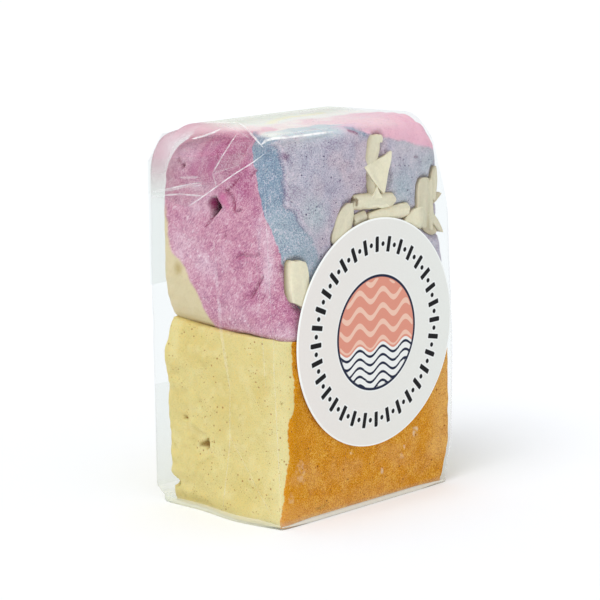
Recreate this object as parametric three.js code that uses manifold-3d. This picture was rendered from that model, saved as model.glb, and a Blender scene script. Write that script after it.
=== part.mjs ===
// A pack of marshmallow: two blocks stacked in a clear side-gusset bag, whose top is folded over
// and down the back, with a round label on the front. The filled bag is one solid, because it is
// shut. Millimetres, +Z up. The label faces -Y, the blocks' narrow cut side faces -X, and the
// origin is the middle of the pack's foot.
import * as THREE from 'three';
import { mergeVertices } from 'three/addons/utils/BufferGeometryUtils.js';
import Module from 'manifold-3d';

// The filled bag.
const WIDTH = 57.8; // from side to side
const DEPTH = 38; // from the label's face to the back of the folded-over top
const HEIGHT = 84.6;
const STEPS = { across: 22, deep: 14, high: 30 };

// The round label. The film is dead flat behind it.
const LABEL_DIAMETER = 50;
const LABEL_THICKNESS = 0.3;
const LABEL_GLUE = 0.05;
const LABEL_CENTRE = { x: 2.7, z: 38.3 };
const LABEL_SIDES = 96;

// The top, folded down over the back and stuck there: its outline's [x, z] corners, left then right.
const FLAP_THICKNESS = 0.6;
const FLAP_LEFT = [[-24.6, 80.8], [-28.8, 75.2], [-28.5, 49]];
const FLAP_RIGHT = [[27.6, 49], [26.6, 77], [23.8, 80.8]];

const HALF_WIDTH = WIDTH / 2;
const LABEL_RADIUS = LABEL_DIAMETER / 2;
const FRONT_Y = -DEPTH / 2 + LABEL_THICKNESS + LABEL_GLUE;
const BACK_Y = DEPTH / 2 - FLAP_THICKNESS;
const MIDDLE_Y = (FRONT_Y + BACK_Y) / 2;
const HALF_DEPTH = (BACK_Y - FRONT_Y) / 2;

// How round the filled top is: the film follows the blocks' soft shoulders.
const LEFT_SHOULDER = { front: 4, back: 10.5 }; // radii
const LONG_SHOULDER = { front: 3.6, back: 4 };
const RIGHT = { edge: 3.6, corner: 9, start: 60, full: 82 }; // radii, and the heights between which they grow
const TOP_FALL = { back: 1.9, left: 1.5 }; // the top is lower at the back and at the front left
const HEEL = { radius: 2.6, corner: 4, height: 4 }; // the bag's bottom is folded in at the back

// The front left crease leans back, and the panel behind it with it, more so near the top.
const LEAN = { foot: 0.35, rise: 0.066, reach: 4, waist: 40, spread: 22, fade: 4 };

// How far the sides stand inside WIDTH: the left one more at its front, and less towards the top.
const LEFT_INSET = { front: 2.6, back: 0.4, backFoot: 1.3, straightAbove: 56 };
const LEFT_FLARE = { width: 1.6, height: 7, y: -7, halfY: 14 }; // the film's fold stands out at the foot
const RIGHT_TUCK = { foot: 2, footHeight: 11, shoulder: 2.2, start: 26, end: 66 };

// The side panels' middle creases, folded inwards, fade out below the folded top.
const GUSSET = { depth: 1.1, halfWidth: 9, y: 0, rise: 10, fadeStart: 52, fadeEnd: 66 };

// Chocolate shavings lift the film on the front, above and to the right of the label.
const BULGE = { x: 14, z: 69, halfX: 15, halfZ: 11, height: 0.35, clear: 0.8, blend: 4 };

// The blocks meet at the waist, where the taut film dips a little.
const WAIST = { z: 40.2, halfHeight: 3, depth: 0.2 };

// The gussets' ears, folded flat against the sides below the top: [y, z] corners.
const EAR_THICKNESS = 0.4;
const LEFT_EAR = { front: [-12.8, 79], tip: [9.2, 66.2], back: [18.9, 68.2], top: [18.9, 75.4] };
const RIGHT_EAR = { front: [-10.5, 72.6], tip: [9.2, 60.2], back: [17.4, 62.2], top: [17.4, 72.6] };

// How far the solid of a fold reaches into the pack behind it.
const ROOT = { ear: 2.4, flap: 0.3 };

const { lerp, smoothstep } = THREE.MathUtils;

// A bump of height 1 at 0 that falls to 0 at distance 1, with a rounded top and foot.
function bump(distance) {
  return 1 - smoothstep(Math.abs(distance), 0, 1);
}

// Pulls a point of a square corner on to a round one. a and b are its distances past the rounding's
// centre line, and only a point past both lines moves.
function rounded(a, b) {
  if (a <= 0 || b <= 0) {
    return [a, b];
  }
  const shrink = Math.max(a, b) / Math.hypot(a, b);
  return [a * shrink, b * shrink];
}

// Rounds the left edge of the top.
function roundLeftShoulder(point) {
  if (point.x >= 0) {
    return;
  }
  const back = (point.y + HALF_DEPTH) / (2 * HALF_DEPTH);
  const radius = lerp(LEFT_SHOULDER.front, LEFT_SHOULDER.back, back);
  const centreX = HALF_WIDTH - radius;
  const centreZ = HEIGHT - radius;
  const [a, b] = rounded(-point.x - centreX, point.z - centreZ);
  point.x = -centreX - a;
  point.z = centreZ + b;
}

// Rounds the front and back edges of the top, but for the front's right half.
function roundLongShoulder(point) {
  const side = Math.sign(point.y);
  if (side < 0 && point.x > 0) {
    return;
  }
  const radius = side < 0 ? LONG_SHOULDER.front : LONG_SHOULDER.back;
  const centreY = HALF_DEPTH - radius;
  const centreZ = HEIGHT - radius;
  const [a, b] = rounded(Math.abs(point.y) - centreY, point.z - centreZ);
  point.y = side * (centreY + a);
  point.z = centreZ + b;
}

// Rounds the three edges that meet in the top's front right corner, most where they meet.
function roundRight(point) {
  if (point.x <= 0) {
    return;
  }
  const forward = smoothstep(-point.y, -HALF_DEPTH, HALF_DEPTH);
  const rightward = smoothstep(point.x, 0, HALF_WIDTH);
  const grown = smoothstep(point.z, RIGHT.start, RIGHT.full);
  const radius = lerp(RIGHT.edge, RIGHT.corner, forward * rightward) * grown;
  const centre = new THREE.Vector3(HALF_WIDTH - radius, radius - HALF_DEPTH, HEIGHT - radius);
  const past = [point.x - centre.x, centre.y - point.y, point.z - centre.z];
  const outer = past.filter((distance) => distance > 0);
  if (outer.length < 2) {
    return;
  }
  const shrink = Math.max(...outer) / Math.hypot(...outer);
  const [a, b, c] = past.map((distance) => (distance > 0 ? distance * shrink : distance));
  point.set(centre.x + a, centre.y - b, centre.z + c);
}

// Rounds the bottom edge at the back, and the foot of the two upright edges above it.
function roundHeel(point) {
  const side = Math.sign(point.x);
  const radius = HEEL.corner * (1 - smoothstep(point.z, 0, HEEL.height));
  const centreX = HALF_WIDTH - radius;
  const [c, d] = rounded(Math.abs(point.x) - centreX, point.y - (HALF_DEPTH - radius));
  point.x = side * (centreX + c);
  point.y = HALF_DEPTH - radius + d;
  const [a, b] = rounded(point.y - (HALF_DEPTH - HEEL.radius), HEEL.radius - point.z);
  point.y = HALF_DEPTH - HEEL.radius + a;
  point.z = HEEL.radius - b;
}

// How far the front panel stands back from its flat plane, at the left crease and beside it.
function frontSetback(x, z) {
  const above = Math.max(0, z - LEAN.waist) / (HEIGHT - LEAN.waist);
  const reach = LEAN.reach + LEAN.spread * above * above;
  const fade = lerp(LEAN.fade, 2, above);
  const fromCrease = x + HALF_WIDTH - LEFT_INSET.front;
  const share = Math.max(0, 1 - Math.max(0, fromCrease) / reach);
  return (LEAN.foot + LEAN.rise * z) * Math.pow(share, fade);
}

// How far the film swells over the shavings. It is 0 behind the label.
function shavingBulge(x, z) {
  const fromLabel = Math.hypot(x - LABEL_CENTRE.x, z - LABEL_CENTRE.z) - LABEL_RADIUS;
  const clear = smoothstep(fromLabel, BULGE.clear, BULGE.clear + BULGE.blend);
  const spread = bump(Math.hypot((x - BULGE.x) / BULGE.halfX, (z - BULGE.z) / BULGE.halfZ));
  return BULGE.height * clear * spread;
}

// How far a side panel's middle crease is folded in.
function gussetFold(y, z) {
  const across = Math.max(0, 1 - Math.abs(y - GUSSET.y) / GUSSET.halfWidth);
  const along = smoothstep(z, 0, GUSSET.rise) - smoothstep(z, GUSSET.fadeStart, GUSSET.fadeEnd);
  return GUSSET.depth * across * along;
}

// How far the left side stands inside WIDTH. back is 0 at its front and 1 at its back.
function leftInset(back, y, z) {
  const rise = smoothstep(z, 0, LEFT_INSET.straightAbove);
  const backInset = lerp(LEFT_INSET.backFoot, LEFT_INSET.back, rise);
  const along = bump((y - LEFT_FLARE.y) / LEFT_FLARE.halfY);
  const flare = LEFT_FLARE.width * bump(z / LEFT_FLARE.height) * along;
  return lerp(LEFT_INSET.front, backInset, back) - flare;
}

// How far the right side is tucked in at its foot and at its shoulder.
function rightTuck(z) {
  const foot = RIGHT_TUCK.foot * (1 - smoothstep(z, 0, RIGHT_TUCK.footHeight));
  return foot + RIGHT_TUCK.shoulder * smoothstep(z, RIGHT_TUCK.start, RIGHT_TUCK.end);
}

// Moves a point of the plain box, centred in x and y and standing on z = 0, to the bag's form.
function sculpt(point) {
  const u = point.x / HALF_WIDTH; // -1 at the left side, 1 at the right
  const v = point.y / HALF_DEPTH; // -1 at the front, 1 at the back
  roundHeel(point);
  roundLeftShoulder(point);
  roundLongShoulder(point);
  roundRight(point);
  const { x, y, z } = point;
  const towardsLeft = Math.max(0, -u);
  const towardsRight = Math.max(0, u);
  const towardsFront = (1 - v) / 2;
  const waist = WAIST.depth * bump((z - WAIST.z) / WAIST.halfHeight);
  const fold = gussetFold(y, z);
  point.x += towardsLeft * (leftInset(1 - towardsFront, y, z) + fold + waist);
  point.x -= towardsRight * (rightTuck(z) + fold + waist);
  point.y += towardsFront * (frontSetback(point.x, z) - shavingBulge(x, z));
  const fall = TOP_FALL.back * (1 - towardsFront) + TOP_FALL.left * towardsFront * towardsLeft;
  point.z -= fall * Math.pow(z / HEIGHT, 2);
  point.y += MIDDLE_Y;
}

// A box grid with shared corners and nothing but positions.
function filledBag() {
  const { across, deep, high } = STEPS;
  const box = new THREE.BoxGeometry(WIDTH, 2 * HALF_DEPTH, HEIGHT, across, deep, high);
  box.translate(0, 0, HEIGHT / 2);
  const skin = bare(box);
  const point = new THREE.Vector3();
  const positions = skin.attributes.position;
  for (let i = 0; i < positions.count; i++) {
    point.fromBufferAttribute(positions, i);
    sculpt(point);
    positions.setXYZ(i, point.x, point.y, point.z);
  }
  return skin;
}

// The outer x of a side panel at depth y and height z.
function sideX(side, y, z) {
  const back = (y - FRONT_Y) / (BACK_Y - FRONT_Y);
  return side < 0 ? leftInset(back, y, z) - HALF_WIDTH : HALF_WIDTH - rightTuck(z);
}

// One ear: its outline drawn in y and z, and pushed through in x so that it lies on its side panel.
function ear(side, { front, tip, back, top }) {
  const outline = new THREE.Shape([front, tip, back, top].map(([y, z]) => new THREE.Vector2(y, z)));
  const depth = EAR_THICKNESS + ROOT.ear;
  const plate = new THREE.ExtrudeGeometry(outline, { depth, bevelEnabled: false });
  const [X, Y, Z] = [[1, 0, 0], [0, 1, 0], [0, 0, 1]].map((axis) => new THREE.Vector3(...axis));
  plate.applyMatrix4(new THREE.Matrix4().makeBasis(Y, Z, X));
  const positions = plate.attributes.position;
  for (let i = 0; i < positions.count; i++) {
    const [y, z] = [positions.getY(i), positions.getZ(i)];
    const outer = sideX(side, y, z) + side * EAR_THICKNESS;
    const low = side < 0 ? outer : outer - depth;
    positions.setX(i, low + positions.getX(i));
  }
  return bare(plate);
}

// The folded-over top: a plate as wide as the back, with its upper corners cut off.
function backFlap() {
  const outline = new THREE.Shape([...FLAP_LEFT, ...FLAP_RIGHT].map(([x, z]) => new THREE.Vector2(x, z)));
  const depth = FLAP_THICKNESS + ROOT.flap;
  const plate = new THREE.ExtrudeGeometry(outline, { depth, bevelEnabled: false });
  plate.rotateX(Math.PI / 2);
  plate.translate(0, DEPTH / 2, 0);
  return bare(plate);
}

// A geometry with merged corners that holds positions alone.
function bare(geometry) {
  geometry.deleteAttribute('normal');
  geometry.deleteAttribute('uv');
  return mergeVertices(geometry);
}

const wasm = await Module();
wasm.setup();

// three.js geometry to a solid that can be joined, and back.
function solidOf(geometry) {
  const vertProperties = geometry.attributes.position.array;
  const triVerts = new Uint32Array(geometry.index.array);
  return new wasm.Manifold(new wasm.Mesh({ numProp: 3, vertProperties, triVerts }));
}

function geometryOf(solid) {
  const { vertProperties, triVerts } = solid.getMesh();
  const geometry = new THREE.BufferGeometry();
  geometry.setAttribute('position', new THREE.BufferAttribute(vertProperties, 3));
  geometry.setIndex(new THREE.BufferAttribute(triVerts, 1));
  geometry.computeVertexNormals();
  return geometry;
}

function makeBag() {
  const pieces = [ear(-1, LEFT_EAR), ear(1, RIGHT_EAR), backFlap()];
  const solid = pieces.reduce((whole, piece) => whole.add(solidOf(piece)), solidOf(filledBag()));
  const film = new THREE.MeshStandardMaterial({ color: 0xe3c3b4, roughness: 0.2, metalness: 0 });
  const bag = new THREE.Mesh(geometryOf(solid), film);
  bag.name = 'bag';
  return bag;
}

function makeLabel() {
  const disc = new THREE.CylinderGeometry(LABEL_RADIUS, LABEL_RADIUS, LABEL_THICKNESS, LABEL_SIDES);
  const paper = new THREE.MeshStandardMaterial({ color: 0xdcdedb, roughness: 0.55, metalness: 0 });
  const label = new THREE.Mesh(disc, paper);
  label.name = 'label';
  label.position.set(LABEL_CENTRE.x, (LABEL_THICKNESS - DEPTH) / 2, LABEL_CENTRE.z);
  return label;
}

const pack = new THREE.Group();
pack.add(makeBag(), makeLabel());

export default pack;
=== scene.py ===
"""A pack of marshmallow: two soft blocks, one on the other, with chocolate shavings, in a clear
side-gusset bag with a round paper label.

Lengths are in millimetres and become metres when a mesh is made. The frame is the CAD model's:
+Z up, the label faces -Y, the blocks' cut side faces -X, and the origin is the middle of the foot.
"""

import math
from collections import namedtuple

import bpy
import numpy as np
from mathutils import Matrix, Vector


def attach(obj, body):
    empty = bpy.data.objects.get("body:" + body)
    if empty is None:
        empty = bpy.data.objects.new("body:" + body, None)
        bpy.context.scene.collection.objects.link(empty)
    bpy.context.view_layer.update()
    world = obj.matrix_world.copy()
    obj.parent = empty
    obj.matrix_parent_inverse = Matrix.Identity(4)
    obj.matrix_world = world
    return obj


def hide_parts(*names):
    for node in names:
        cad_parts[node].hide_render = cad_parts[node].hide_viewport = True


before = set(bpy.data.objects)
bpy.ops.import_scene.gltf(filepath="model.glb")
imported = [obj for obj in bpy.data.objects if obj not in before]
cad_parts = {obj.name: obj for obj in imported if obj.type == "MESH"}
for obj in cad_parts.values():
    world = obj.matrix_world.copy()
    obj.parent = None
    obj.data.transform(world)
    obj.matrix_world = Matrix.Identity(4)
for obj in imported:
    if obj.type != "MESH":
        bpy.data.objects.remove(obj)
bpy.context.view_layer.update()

MM = 0.001

# ---------------------------------------------------------------- the bag's form, as in the CAD model

WIDTH, DEPTH, HEIGHT = 57.8, 38.0, 84.6
LABEL_RADIUS, LABEL_THICKNESS = 25.0, 0.3
LABEL_X, LABEL_Z = 2.7, 38.3
HALF_WIDTH = WIDTH / 2
FRONT_Y, BACK_Y = -18.65, 18.4
MIDDLE_Y, HALF_DEPTH = (FRONT_Y + BACK_Y) / 2, (BACK_Y - FRONT_Y) / 2
SHOULDER_LEFT = (4.0, 10.5)  # radii at the front and at the back
RIGHT_EDGE, RIGHT_CORNER = 3.6, 9.0
LONG_SHOULDER_FRONT, LONG_SHOULDER_BACK = 3.6, 4.0
TOP_FALL_BACK, TOP_FALL_LEFT = 1.9, 1.5
CORNER_START, CORNER_FULL = 60.0, 82.0
HEEL_RADIUS, HEEL_CORNER, HEEL_HEIGHT = 2.6, 4.0, 4.0
LEAN_FOOT, LEAN_RISE, LEAN_REACH, LEAN_WAIST, LEAN_SPREAD, LEAN_FADE = 0.35, 0.066, 4.0, 40.0, 22.0, 4.0
INSET_FRONT, INSET_BACK, INSET_BACK_FOOT, INSET_STRAIGHT_ABOVE = 2.6, 0.4, 1.3, 56.0
FLARE_WIDTH, FLARE_HEIGHT, FLARE_Y, FLARE_HALF = 1.6, 7.0, -7.0, 14.0
TUCK_FOOT, TUCK_FOOT_HEIGHT, TUCK_SHOULDER, TUCK_START, TUCK_END = 2.0, 11.0, 2.2, 26.0, 66.0
GUSSET_DEPTH, GUSSET_HALF, GUSSET_RISE, GUSSET_FADE_START, GUSSET_FADE_END = 1.1, 9.0, 10.0, 52.0, 66.0
BULGE_AT, BULGE_HALF, BULGE_HEIGHT, BULGE_CLEAR, BULGE_BLEND = (14.0, 69.0), (15.0, 11.0), 0.35, 0.8, 4.0
WAIST_Z, WAIST_HALF, WAIST_DEPTH = 40.2, 3.0, 0.2


def lerp(a, b, t):
    return a + (b - a) * t


def smooth(value, start, end):
    """0 up to start, 1 from end on, and an S between them. start may be the larger of the two."""
    t = np.clip((value - start) / (end - start), 0, 1)
    return t * t * (3 - 2 * t)


def bump(distance):
    """1 at 0, falling to 0 at distance 1, with a rounded top and foot."""
    return smooth(np.abs(distance), 1, 0)


def blot(a, b, middle, half):
    """An oval bump round a middle, with two half sizes."""
    return bump(np.hypot((a - middle[0]) / half[0], (b - middle[1]) / half[1]))


def rounded(a, b):
    """Pulls points of a square corner on to a round one. a and b are distances past its centre lines."""
    shrink = np.maximum(a, b) / np.maximum(np.hypot(a, b), 1e-9)
    both = (a > 0) & (b > 0)
    return np.where(both, a * shrink, a), np.where(both, b * shrink, b)


def round_heel(x, y, z):
    radius = HEEL_CORNER * smooth(z, HEEL_HEIGHT, 0)
    a, b = rounded(np.abs(x) - (HALF_WIDTH - radius), y - (HALF_DEPTH - radius))
    x, y = np.sign(x) * (HALF_WIDTH - radius + a), HALF_DEPTH - radius + b
    a, b = rounded(y - (HALF_DEPTH - HEEL_RADIUS), HEEL_RADIUS - z)
    return x, HALF_DEPTH - HEEL_RADIUS + a, HEEL_RADIUS - b


def round_left_shoulder(x, y, z):
    radius = lerp(*SHOULDER_LEFT, (y + HALF_DEPTH) / (2 * HALF_DEPTH))
    a, b = rounded(-x - (HALF_WIDTH - radius), z - (HEIGHT - radius))
    left = x < 0
    return np.where(left, radius - HALF_WIDTH - a, x), y, np.where(left, HEIGHT - radius + b, z)


def round_long_shoulder(x, y, z):
    """Rounds the front and back edges of the top, but for the front's right half."""
    side = np.sign(y)
    radius = np.where(side < 0, LONG_SHOULDER_FRONT, LONG_SHOULDER_BACK)
    a, b = rounded(np.abs(y) - (HALF_DEPTH - radius), z - (HEIGHT - radius))
    here = (side > 0) | (x <= 0)
    return x, np.where(here, side * (HALF_DEPTH - radius + a), y), np.where(here, HEIGHT - radius + b, z)


def round_right(x, y, z):
    """Rounds the three edges that meet in the top's front right corner, most where they meet."""
    near_corner = smooth(-y, -HALF_DEPTH, HALF_DEPTH) * smooth(x, 0, HALF_WIDTH)
    radius = lerp(RIGHT_EDGE, RIGHT_CORNER, near_corner) * smooth(z, CORNER_START, CORNER_FULL)
    past = np.stack([x - (HALF_WIDTH - radius), -y - (HALF_DEPTH - radius), z - (HEIGHT - radius)])
    outer = np.maximum(past, 0)
    shrink = outer.max(0) / np.maximum(np.linalg.norm(outer, axis=0), 1e-9)
    a, b, c = np.where((past > 0) & ((past > 0).sum(0) > 1), past * shrink, past)
    rounded_points = np.stack([HALF_WIDTH - radius + a, radius - HALF_DEPTH - b, HEIGHT - radius + c])
    return np.where(x > 0, rounded_points, np.stack([x, y, z]))


def front_setback(x, z):
    """How far the front stands back from its flat plane, at the left crease and beside it."""
    above = np.maximum(0, z - LEAN_WAIST) / (HEIGHT - LEAN_WAIST)
    reach = LEAN_REACH + LEAN_SPREAD * above * above
    share = np.maximum(0, 1 - np.maximum(0, x + HALF_WIDTH - INSET_FRONT) / reach)
    return (LEAN_FOOT + LEAN_RISE * z) * share ** lerp(LEAN_FADE, 2, above)


def shaving_bulge(x, z):
    from_label = np.hypot(x - LABEL_X, z - LABEL_Z) - LABEL_RADIUS
    clear = smooth(from_label, BULGE_CLEAR, BULGE_CLEAR + BULGE_BLEND)
    return BULGE_HEIGHT * clear * blot(x, z, BULGE_AT, BULGE_HALF)


def gusset_fold(y, z):
    across = np.maximum(0, 1 - np.abs(y) / GUSSET_HALF)
    return GUSSET_DEPTH * across * (smooth(z, 0, GUSSET_RISE) - smooth(z, GUSSET_FADE_START, GUSSET_FADE_END))


def side_fold(y, z):
    """How far the film of a side folds in, at its gusset and at the waist between the blocks."""
    return gusset_fold(y, z) + WAIST_DEPTH * bump((z - WAIST_Z) / WAIST_HALF)


def left_inset(back, y, z):
    back_inset = lerp(INSET_BACK_FOOT, INSET_BACK, smooth(z, 0, INSET_STRAIGHT_ABOVE))
    flare = FLARE_WIDTH * bump(z / FLARE_HEIGHT) * bump((y - FLARE_Y) / FLARE_HALF)
    return lerp(INSET_FRONT, back_inset, back) - flare


def right_tuck(z):
    return TUCK_FOOT * smooth(z, TUCK_FOOT_HEIGHT, 0) + TUCK_SHOULDER * smooth(z, TUCK_START, TUCK_END)


def sculpt(plain, folds=1.0):
    """Moves points of the plain box, centred in x and y on z = 0, to the bag's form. With folds at 0 the
    film's own folds are left out, for what lies inside it."""
    x, y, z = np.array(plain, float).T
    u, v = x / HALF_WIDTH, y / HALF_DEPTH
    for step in (round_heel, round_left_shoulder, round_long_shoulder, round_right):
        x, y, z = step(x, y, z)
    left, right, front = np.maximum(0, -u), np.maximum(0, u), (1 - v) / 2
    fold = folds * side_fold(y, z)
    moved_x = x + left * (left_inset(1 - front, y, z) + fold) - right * (right_tuck(z) + fold)
    moved_y = y + front * (front_setback(moved_x, z) - folds * shaving_bulge(x, z)) + MIDDLE_Y
    fall = TOP_FALL_BACK * (1 - front) + TOP_FALL_LEFT * front * left
    return np.stack([moved_x, moved_y, z - fall * (z / HEIGHT) ** 2], 1)


def side_x(side, y, z):
    """The outer x of a side panel at depth y and height z."""
    back = (y - FRONT_Y) / (BACK_Y - FRONT_Y)
    return np.where(side < 0, left_inset(back, y, z) - HALF_WIDTH, HALF_WIDTH - right_tuck(z))


FILM_GAP = 0.06
SHOULDER_GAP, SHOULDER_FROM, SHOULDER_TO = 0.5, 80.0, 83.5  # more room where the front rounds into the top


def keep_in_film(points):
    """The points, moved in to just behind the film where they would stand out of it."""
    x, y, z = points.T
    room = side_fold(y, z) + FILM_GAP
    x = np.clip(x, side_x(-1, y, z) + room, side_x(1, y, z) - room)
    gap = FILM_GAP + SHOULDER_GAP * smooth(z, SHOULDER_FROM, SHOULDER_TO)
    front = FRONT_Y + front_setback(x, z) - shaving_bulge(x, z) + gap
    return np.stack([x, np.maximum(y, front), np.maximum(z, FILM_GAP)], 1)


# ---------------------------------------------------------------- numbers, noise and meshes


def srgb(red, green, blue):
    """A colour given in 0 to 255, as the linear values that shaders use."""
    c = np.array([red, green, blue]) / 255
    return np.where(c <= 0.04045, c / 12.92, ((c + 0.055) / 1.055) ** 2.4)


def painted(base, *coats):
    """Colours with coats over them, each of them a share of 0 to 1 for every place, and a colour."""
    for share, colour in coats:
        base = lerp(base, colour, np.clip(share, 0, 1)[:, None])
    return base


def chance(ix, iy, iz, seed):
    """A steady number from 0 to 1 for each whole-number place."""
    h = (ix * 73856093 ^ iy * 19349663 ^ iz * 83492791 ^ seed * 2654435761) & 0xFFFFFFFF
    h = (h ^ (h >> 15)) * 2246822519 & 0xFFFFFFFF
    h = (h ^ (h >> 13)) * 3266489917 & 0xFFFFFFFF
    return ((h ^ (h >> 16)) & 0xFFFFFF) / 0xFFFFFF


def noise(points, size, seed):
    """Smooth noise from -1 to 1 with features of about the given size."""
    p = np.asarray(points, float) / size + 1000
    whole = np.floor(p).astype(np.int64)
    t = smooth(p - whole, 0, 1)
    total = 0
    for corner in range(8):
        d = np.array([corner & 1, corner >> 1 & 1, corner >> 2])
        weight = np.prod(np.where(d, t, 1 - t), axis=1)
        total = total + weight * chance(*(whole + d).T, seed)
    return 2 * total - 1


def layers(points, size, seed, count=3):
    """Noise of several sizes, each half the last and half as strong."""
    return sum(noise(points, size / 2**k, seed + k) / 2**k for k in range(count))


def turned(a, b, degrees):
    """A place (a, b) in axes that are turned by degrees."""
    angle = math.radians(degrees)
    return a * math.cos(angle) + b * math.sin(angle), b * math.cos(angle) - a * math.sin(angle)


def along_line(a, b, knots):
    """The distance of each place (a, b) from a line through the knots."""
    nearest = np.full(len(a), np.inf)
    for (a0, b0), (a1, b1) in zip(knots, knots[1:]):
        da, db = a1 - a0, b1 - b0
        t = np.clip(((a - a0) * da + (b - b0) * db) / (da * da + db * db), 0, 1)
        nearest = np.minimum(nearest, np.hypot(a - a0 - t * da, b - b0 - t * db))
    return nearest


def inside(a, b, rim):
    """How far inside a closed outline each place is, below 0 outside it."""
    odd = np.zeros(len(a), bool)
    for (a0, b0), (a1, b1) in zip(rim, rim[1:] + rim[:1]):
        if b0 != b1:
            odd ^= ((b0 > b) != (b1 > b)) & (a < a0 + (b - b0) * (a1 - a0) / (b1 - b0))
    away = along_line(a, b, rim + rim[:1])
    return np.where(odd, away, -away)


def steps(value, knots):
    """A value that runs straight between (at, value) knots."""
    return np.interp(value, [at for at, _ in knots], [there for _, there in knots])


def quads(index):
    """The faces between neighbours in a grid of point numbers."""
    return np.stack([index[:-1, :-1], index[:-1, 1:], index[1:, 1:], index[1:, :-1]], -1).reshape(-1, 4)


def box_shell(size, spacing):
    """The surface grid of a box: its points as shares from 0 to 1, and its quads facing out."""
    counts = [int(round(length / spacing)) for length in size]
    corners = []
    for axis in range(3):
        a, b = (axis + 1) % 3, (axis + 2) % 3
        i, j = np.meshgrid(np.arange(counts[a]), np.arange(counts[b]), indexing="ij")
        for end in (0, 1):
            ring = ((0, 0), (1, 0), (1, 1), (0, 1))
            p = np.zeros(i.shape + (4, 3), np.int64)
            for k, (di, dj) in enumerate(ring if end else ring[::-1]):
                p[..., k, axis] = end * counts[axis]
                p[..., k, a] = i + di
                p[..., k, b] = j + dj
            corners.append(p.reshape(-1, 4, 3))
    x, y, z = np.moveaxis(np.concatenate(corners), -1, 0)
    ny, nz = counts[1] + 1, counts[2] + 1
    unique, faces = np.unique((x * ny + y) * nz + z, return_inverse=True)
    points = np.stack([unique // (ny * nz), unique // nz % ny, unique % nz], 1) / np.array(counts)
    return points, faces.reshape(-1, 4)


def vertex_normals(points, faces):
    across = np.cross(points[faces[:, 2]] - points[faces[:, 0]], points[faces[:, 3]] - points[faces[:, 1]])
    normals = np.zeros_like(points)
    for k in range(4):
        np.add.at(normals, faces[:, k], across)
    return normals / np.maximum(np.linalg.norm(normals, axis=1, keepdims=True), 1e-12)


def make_piece(name, parts, materials, looks):
    """A piece from one or more (points, faces, material index), in millimetres. looks are its mesh
    attributes: a number or a colour for each point."""
    points, faces, indices, start = [], [], [], 0
    for part_points, part_faces, index in parts:
        points.append(np.asarray(part_points, float))
        faces += [[corner + start for corner in face] for face in np.array(part_faces, object).tolist()]
        indices += [index] * len(part_faces)
        start += len(part_points)
    mesh = bpy.data.meshes.new(name)
    mesh.from_pydata((np.concatenate(points) * MM).tolist(), [], faces)
    for material in materials:
        mesh.materials.append(material)
    mesh.polygons.foreach_set("material_index", indices)
    mesh.polygons.foreach_set("use_smooth", [True] * len(faces))
    for look, values in looks.items():
        if np.ndim(values) == 2:
            rgba = np.concatenate([values, np.ones((len(values), 1))], axis=1)
            mesh.color_attributes.new(look, "FLOAT_COLOR", "POINT").data.foreach_set("color", rgba.ravel())
        else:
            mesh.attributes.new(look, "FLOAT", "POINT").data.foreach_set("value", np.float32(values))
    mesh.update()
    piece = bpy.data.objects.new(name, mesh)
    bpy.context.scene.collection.objects.link(piece)
    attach(piece, "root")
    return piece


# ---------------------------------------------------------------- materials


def add(tree, kind, values=None, output=0, **settings):
    """An output of a new shader node. values are its inputs: numbers, colours or other nodes' outputs."""
    node = tree.nodes.new("ShaderNode" + kind)
    for key, value in settings.items():
        setattr(node, key, value)
    for key, value in (values or {}).items():
        if isinstance(value, bpy.types.NodeSocket):
            tree.links.new(value, node.inputs[key])
        else:
            node.inputs[key].default_value = (*value, 1) if node.inputs[key].type == "RGBA" else value
    return node.outputs[output]


def new_material(name, shader):
    """A material whose surface is what shader(tree) returns."""
    material = bpy.data.materials.new(name)
    material.use_nodes = True
    tree = material.node_tree
    tree.nodes.clear()
    output = tree.nodes.new("ShaderNodeOutputMaterial")
    tree.links.new(shader(tree), output.inputs["Surface"])
    return material


def places(tree, scale=(1, 1, 1), turn=(0, 0, 0)):
    """Object coordinates in millimetres, turned and then stretched."""
    at = add(tree, "Mapping", {"Vector": add(tree, "TexCoord", output="Object"), "Rotation": turn})
    return add(tree, "Mapping", {"Vector": at, "Scale": [s / MM for s in scale]})


def grain(tree, where, size, detail, rough=0.6):
    """Shader noise from 0 to 1 around 0.5, with features of about size millimetres."""
    return add(tree, "TexNoise", {"Vector": where, "Scale": 1 / size, "Detail": detail, "Roughness": rough})


def ramp(tree, value, low, high, to_low=0.0, to_high=1.0):
    ends = {"From Min": low, "From Max": high, "To Min": to_low, "To Max": to_high}
    return add(tree, "MapRange", {"Value": value, **ends})


def maths(tree, operation, a, b):
    return add(tree, "Math", {0: a, 1: b}, operation=operation)


def mixed(tree, factor, a, b, blend="MIX"):
    """Colour a to colour b by factor."""
    return add(tree, "Mix", {0: factor, 6: a, 7: b}, 2, data_type="RGBA", blend_type=blend)


def tinted(tree, colour, shade):
    """A colour made darker or lighter by a number."""
    return mixed(tree, 1.0, colour, add(tree, "CombineColor", dict.fromkeys(range(3), shade)), "MULTIPLY")


def attribute(tree, name, output="Fac"):
    return add(tree, "Attribute", output=output, attribute_name=name)


def bumpy(tree, height, strength, distance):
    return add(tree, "Bump", {"Height": height, "Strength": strength, "Distance": distance * MM})


def principled(tree, colour, roughness, normal, specular, **values):
    inputs = {"Base Color": colour, "Roughness": roughness, "Normal": normal, "Specular IOR Level": specular}
    inputs.update({key.replace("_", " "): value for key, value in values.items()})
    return add(tree, "BsdfPrincipled", inputs)


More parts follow.
